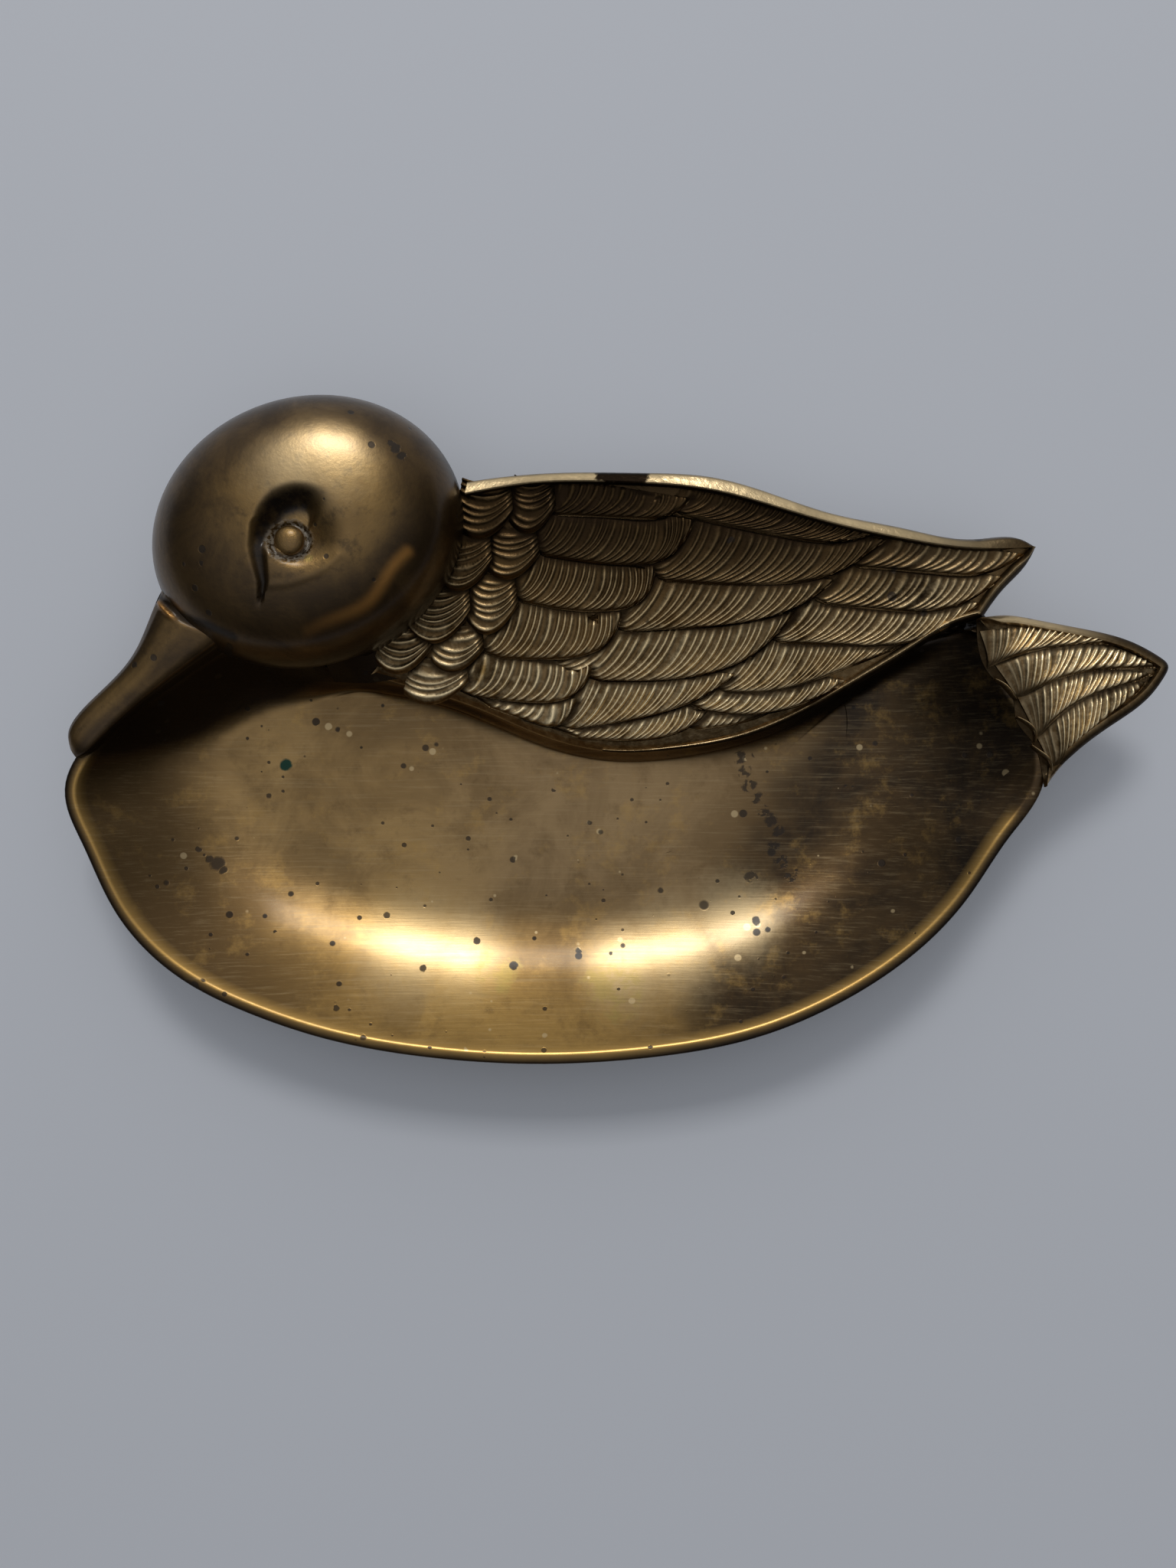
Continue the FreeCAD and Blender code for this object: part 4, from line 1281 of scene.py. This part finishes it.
def tailLips():
    # the rounded edge round the tail: polished, with a painted highlight, along the top; thick, with painted
    # shade, round the tip
    count = tail["lipCount"]
    line = np.vstack([alongShares(tailTopShares, tailSize, count, last=False),
                      alongShares(tailUnderShares, tailSize, count, until=0.94)])
    line = roundedTip(line, count - 10, count + 12)
    spots = np.linspace(0, 1, len(line))
    rows = [(0.0, 0.02), (0.0, 0.40), (0.08, 0.66), (0.30, 0.88), (0.60, 1.0), (0.84, 0.96), (0.98, 0.75),
            (1.04, 0.3)]
    ending = easeIn(spots, 1.0, 0.90)
    high = (2.9 - 0.5 * easeIn(spots, 0.1, 0.5)) * (0.2 + 0.8 * ending)
    wide = 0.35 + 1.35 * easeIn(spots, 0.0, 0.06) + 0.3 * easeIn(spots, 0.2, 0.5)
    wide = wide - 0.8 * (1 - ending)
    shell = sweep(line, rows, high, wide)
    shine = np.array([0.0, 0.0, 0.5, 1.0, 1.0, 0.5, 0.0, 0.0])
    dark = np.array([1.0, 1.0, 1.0, 0.95, 0.75, 0.35, 0.5, 0.7])
    shell.marks = {
        "polish": np.concatenate([shine * fall for fall in easeIn(spots, 0.36, 0.12)]),
        "groove": np.concatenate([dark * fall for fall in easeIn(spots, 0.10, 0.40)]),
        "plain": np.full(len(line) * len(rows), 0.7)}
    return shell


def makeTail():
    # the plate, four feathers, the rounded edge and the thin lines along the roots
    sides, counts = (tailTopShares, tailUnderShares, tailRootShares), tail["counts"]
    outline = np.vstack([alongShares(shares, tailSize, count, last=False)
                         for shares, count in zip(sides, counts)])
    outline = roundedTip(outline, counts[0] - 7, counts[0] + 8)
    rings = []
    # the plate falls away along the tail's root, the last of the three sides
    root = np.concatenate([np.zeros(counts[0] + counts[1]), easeIn(np.linspace(0, 1, counts[2]), 0.0, 0.08)])
    for drawn, deep, height, low in ((0.0, 0.0, 0.0, 0.0), (0.0, 0.05, 0.7, 0.1), (0.3, 0.9, 1.1, 0.4),
                                     (0.8, 2.0, tail["plate"], 0.9)):
        line = inset(outline, drawn) * (1 - root[:, None]) + inset(outline, deep) * root[:, None]
        rings.append(np.column_stack([line, height + (low - height) * root]))
    # painted shade along the tail's root
    marks = {"plain": np.full(len(outline) * len(rings), 0.10), "groove": np.tile(0.95 * root, len(rings))}
    shells = [ringShell(rings, marks, pole=False)]
    for order, (shares, top) in enumerate(zip(tailFeathers, tailUppers)):
        shells.append(tailBlade(shares, top, order + tail["firstOrder"]))
    markGrooves(shells[1:], wing["groove"])
    for shell in shells[1:]:
        shell.marks["groove"] = np.maximum(shell.marks["groove"], 0.75 * shell.root)
    shells += [tailLips()] + [scallopStrip(pixels) for pixels in tailScallops]
    finishFeathers("tailFeathers", shells, onTail, wing["seed"] + 1, "tail")


makeTail()


eye = {"place": (-43.8, 44.8), "radius": 2.45, "rise": 1.5, "seat": 31.4, "shank": 1.5,
       "shankLength": 3.6, "around": 48, "steps": 14, "pole": 0.05}
# The socket round the eye: a dent that is steep above and to the left, a tear line and a lid line
socket = {"at": (390, 698), "height": 32.0, "left": 7.4, "right": 9.5, "below": 7.5, "above": 8.0,
          "steepTowards": 2.25, "moatGap": 0.35, "moatWidth": 0.75, "moatDepth": 0.5, "tearDepth": 0.9,
          "lidRise": 0.13}
tearPixels = [(341, 690), (338, 715), (341, 742), (343, 760), (339, 778), (333, 797)]
lidPixels = [(352, 764), (371, 763), (396, 756), (412, 749), (428, 739), (442, 727)]
# The crease between head and bill, and the painted orange reflection low on the head's right
creasePixels = [(204, 781), (223, 795), (241, 806), (262, 815), (282, 821), (300, 829), (315, 836)]
creaseHeights = {"head": 22.0, "bill": 23.0}
bandPixels = [(535, 724), (519, 741), (484, 787), (433, 812), (403, 825)]
bandHeight = 27.0


def makeHead():
    # a hollow dome: down its outside from the crown, then up inside
    socketAt = atPixel(*socket["at"], socket["height"])[:2]
    lidLine = pixelLine(lidPixels, socket["height"], 30)
    tearLine = pixelLine(tearPixels, socket["height"])
    crease = pixelLine(creasePixels, creaseHeights["head"])
    band = pixelLine(bandPixels, bandHeight, 30)
    around = np.linspace(0, 2 * math.pi, head["around"], endpoint=False)
    rings, hollows, sides, paintedReflections = [], [], [], []
    power = head["roundness"]
    for share in np.sin(np.linspace(0.02, 1.0, head["rings"]) * math.pi / 2):
        up = (1 - min(share, 0.9999) ** power) ** (1 / power)
        line = headLine(0.0, share, up ** 2 * head["crown"])
        points = np.column_stack([line, np.full(len(line), dish["rimHeight"] + up * head["rise"])])
        gap = points[:, :2] - socketAt
        turn = np.arctan2(gap[:, 1], gap[:, 0])
        above = easeIn(np.cos(turn - socket["steepTowards"]), -0.1, 0.75)
        reach = np.hypot(gap[:, 0] / np.where(gap[:, 0] < 0, socket["left"], socket["right"]),
                         gap[:, 1] / np.where(gap[:, 1] < 0, socket["below"], socket["above"]))
        sunk = easeIn(reach, 1.0, 0.50 * above) ** (1.4 - 0.5 * above)
        taper = easeIn(points[:, 1], 33.2, 44.0)
        tear = easeIn(lineDistance(points, tearLine), 0.45 + 1.3 * taper, 0.05 + 0.3 * taper)
        tear = tear * easeIn(taper, 0.0, 0.2)
        lift = easeIn(lineDistance(points, lidLine), 1.0, 0.0)
        fromEye = np.hypot(points[:, 0] - eye["place"][0], points[:, 1] - eye["place"][1])
        moat = easeIn(np.abs(fromEye - eye["radius"] - socket["moatGap"]), socket["moatWidth"], 0.0)
        points[:, 2] -= (sunk * head["socketDepth"] + socket["moatDepth"] * moat
                         + socket["tearDepth"] * tear * (1 - 0.8 * sunk) - socket["lidRise"] * lift)
        rings.append(points)
        # painted shade, with some grime, in the socket, the tear line, the ring round the eye, the crease
        # and the head's foot
        dirt = 0.97 * above * easeIn(reach, 1.06, 0.80)
        dirt = dirt * easeIn(fromEye, 2.9, 3.8) * easeIn(reach, 0.25, 0.6)
        for more in (0.95 * tear, 0.9 * moat,
                     0.8 * easeIn(lineDistance(points, crease), 1.1, 0.2) * (up < 0.9),
                     0.85 * easeIn(up, 0.45, 0.15)):
            dirt = np.maximum(dirt, more)
        hollows.append(dirt)
        # painted shade down the sides, most on the side towards the wing
        sides.append(easeIn(up + 0.06 * np.cos(around + 0.6), 0.985, 0.84))
        # painted orange reflection along the band low on the head's right
        glow = easeIn(lineDistance(points, band), 1.7, 0.0) ** 1.5
        paintedReflections.append(glow * easeIn(points[:, 0], -50.0, -24.0))
    base = headLine(0.0)
    rings.append(np.column_stack([base, np.full(len(base), dish["rimHeight"])]))
    # painted shade inside the dome
    hollows.append(np.full(len(base), head["inside"]))
    for share in np.linspace(1.0, 0.03, head["hollowRings"]):
        up = (1 - share ** power) ** (1 / power)
        line = headLine(head["wall"], share, up ** 2 * head["crown"])
        height = dish["rimHeight"] + up * (head["rise"] - head["wall"] - head["socketDepth"])
        rings.append(np.column_stack([line, np.full(len(line), height)]))
        hollows.append(np.full(len(line), head["inside"]))
    sides += [np.ones(head["around"])] * (len(rings) - len(sides))
    paintedReflections += [np.zeros(head["around"])] * (len(rings) - len(paintedReflections))
    marks = {"hollow": np.concatenate(hollows), "side": np.concatenate(sides),
             "glow": np.concatenate(paintedReflections)}
    piece = makePiece("headDome", [ringShell(rings, marks)], castSharpOver)
    finishPiece(piece, headBrassMaterial, "head")


castSharpOver = 50
headBrassMaterial = headBrass()
makeHead()


# Two edges and the heights of the bill from the head to its tip, and its section from edge to edge
bill = {
    "sections": 150, "seat": 17.0, "across": 56, "light": [(207, 787), (216, 797), (229, 808)],
    "lightCount": 20, "creaseCount": 40, "bead": (276, 821, 25.0),
    "outer": [(-66.5, 40.5), (-69.0, 36.6), (-71.9, 29.9), (-76.0, 24.5), (-81.4, 19.5), (-84.3, 15.5),
              (-84.4, 12.4)],
    "inner": [(-53.0, 32.0), (-57.3, 29.6), (-64.4, 24.9), (-70.7, 20.4), (-76.5, 15.6), (-80.5, 11.9),
              (-83.2, 10.6)],
    "heights": [9.0, 7.6, 6.2, 4.9, 3.9, 3.2, 1.6],
    "profile": [(0.0, 0.0), (0.0, 0.45), (0.06, 0.72), (0.16, 0.88), (0.32, 0.97), (0.5, 1.0), (0.7, 0.98),
                (0.86, 0.93), (0.95, 0.84), (1.0, 0.66), (1.0, 0.30), (1.0, 0.0)],
}


def makeBill():
    # one section after another from the head to the tip
    spots = np.linspace(0, 1, bill["sections"])
    knots = np.linspace(0, 1, len(bill["outer"]))
    outer, inner = (spline(bill[side], knots=knots)(spots) for side in ("outer", "inner"))
    high = spline(np.column_stack([bill["heights"]] * 2), knots=knots)(spots)[:, 0]
    profile = np.array(bill["profile"])
    knots = np.concatenate([[0], np.cumsum(np.hypot(*np.diff(profile, axis=0).T))])
    dense = np.linspace(0, knots[-1], bill["across"])
    across, up = (np.interp(dense, knots, column) for column in profile.T)
    crease = pixelLine(creasePixels, creaseHeights["bill"], bill["creaseCount"])
    light = pixelLine(bill["light"], creaseHeights["bill"], bill["lightCount"])
    beadAt = atPixel(*bill["bead"])
    rings, shadesAndGrime, sides, paintedReflections = [], [], [], []
    for i, spot in enumerate(spots):
        points = np.column_stack([outer[i] + (inner[i] - outer[i]) * across[:, None],
                                  bill["seat"] + high[i] * up])
        raised = easeIn(lineDistance(points, light), 0.8, 0.0)
        gash = easeIn(lineDistance(points, crease), 1.5, 0.5) * (1 - raised)
        bead = easeIn(np.hypot(points[:, 0] - beadAt[0], points[:, 1] - beadAt[1]), 1.3, 0.5)
        points[:, 2] += np.where(up > 0.6, 0.35 * raised + 0.35 * bead - 0.4 * gash, 0.0)
        rings.append(points)
        # painted shade along the bill's far edge and in its crease
        shadesAndGrime.append(np.maximum(np.where(across > 0.965, 0.85, 0.0), 0.9 * gash * (1 - bead)))
        # painted shade on the bill's edges and towards the head
        edges = 0.25 + 0.9 * easeIn(np.abs(across - 0.42), 0.08, 0.40)
        sides.append(np.clip(edges + 0.45 * easeIn(spot, 0.6, 0.15), 0, 1))
        # painted highlight along the raised line and on the bead
        paintedReflections.append(np.maximum(0.8 * raised, bead))
    marks = {"hollow": np.concatenate(shadesAndGrime), "side": np.concatenate(sides),
             "glow": np.concatenate(paintedReflections)}
    piece = makePiece("billForm", [ringShell(rings, marks, pole=False)], castSharpOver)
    finishPiece(piece, headBrassMaterial, "bill")


makeBill()


def makeEye():
    # a domed button on a shank
    edge, low = 0.25, eye["seat"] - eye["shankLength"]
    profile = [(eye["pole"], eye["seat"] + eye["rise"])]
    for angle in np.radians(np.linspace(80, 0, eye["steps"])):
        height = eye["seat"] + edge + (eye["rise"] - edge) * math.sin(angle)
        profile.append((eye["radius"] * math.cos(angle), height))
    profile += [(eye["radius"], eye["seat"]), (eye["shank"], eye["seat"]), (eye["shank"], low),
                (eye["pole"], low)]
    angles = np.linspace(0, 2 * math.pi, eye["around"], endpoint=False)
    rings = []
    for radius, height in profile:
        rings.append(np.column_stack([eye["place"][0] + radius * np.cos(angles),
                                      eye["place"][1] + radius * np.sin(angles),
                                      np.full(eye["around"], height)]))
    piece = makePiece("eyeButton", [ringShell(rings)], castSharpOver)
    finishPiece(piece, headBrassMaterial, "eye")


makeEye()


room = {"floor": (0.70, 0.72, 0.765), "floorReach": 12.0, "floorDrop": 0.0001, "floorRoughness": 0.9,
        "windowPlace": (-0.04, 0.68, 0.76), "windowSize": (0.30, 0.20), "windowPower": 2.35,
        "sky": (0.92, 0.95, 1.0), "skyLow": 0.03, "skyOverhead": 0.64, "skyAhead": 0.42, "backdrop": 0.40}


def aim(thing, place):
    # turns a lamp towards the middle of the table
    gap = -np.array(place)
    flat = math.hypot(gap[0], gap[1])
    thing.location = place
    thing.rotation_euler = (math.atan2(flat, -gap[2]), 0, math.atan2(-gap[0], gap[1]))


def makeRoom():
    # a pale floor, one soft window and a dim room
    floor = bpy.data.meshes.new("floor")
    reach, low = room["floorReach"], -room["floorDrop"]
    corners = [(-reach, -reach, low), (reach, -reach, low), (reach, reach, low), (-reach, reach, low)]
    floor.from_pydata(corners, [], [(0, 1, 2, 3)])
    plane = bpy.data.objects.new("floor", floor)
    bpy.context.scene.collection.objects.link(plane)
    paint = Paint("paleFloor")
    floor.materials.append(paint.finish(Base_Color=room["floor"], Roughness=room["floorRoughness"]))
    lamp = bpy.data.lights.new("window", "AREA")
    lamp.shape = "RECTANGLE"
    lamp.size, lamp.size_y = room["windowSize"]
    lamp.energy = room["windowPower"]
    window = bpy.data.objects.new("window", lamp)
    bpy.context.scene.collection.objects.link(window)
    aim(window, room["windowPlace"])
    world = bpy.data.worlds.new("room")
    bpy.context.scene.world = world
    world.use_nodes = True
    sky = Paint("room", world, "Background", "Generated")
    overhead = sky.axis("Z").clamped() ** 3.0 * room["skyOverhead"]
    ahead = sky.axis("Y").between(0.2, 0.9) * room["skyAhead"]
    seen = sky.number("ShaderNodeLightPath", output="Is Camera Ray")
    lit = overhead + ahead + room["skyLow"]
    sky.finish(Color=room["sky"], Strength=lit * (1.0 - seen) + seen * room["backdrop"])


def makeCamera():
    # straight over the dish, at the photograph's scale
    lens = bpy.data.cameras.new("overhead")
    lens.sensor_fit = "HORIZONTAL"
    lens.sensor_width = 36.0
    across = view["wide"] * view["perPixel"]
    far = view["height"] - view["measuredAt"]
    lens.lens = lens.sensor_width * far / across
    lens.clip_start = 0.01
    camera = bpy.data.objects.new("overhead", lens)
    bpy.context.scene.collection.objects.link(camera)
    camera.location = (view["x"] * millimetre, view["y"] * millimetre, view["height"] * millimetre)
    bpy.context.scene.camera = camera


makeRoom()
makeCamera()
bpy.context.scene.view_settings.view_transform = "Standard"
print("room, light and camera ready")
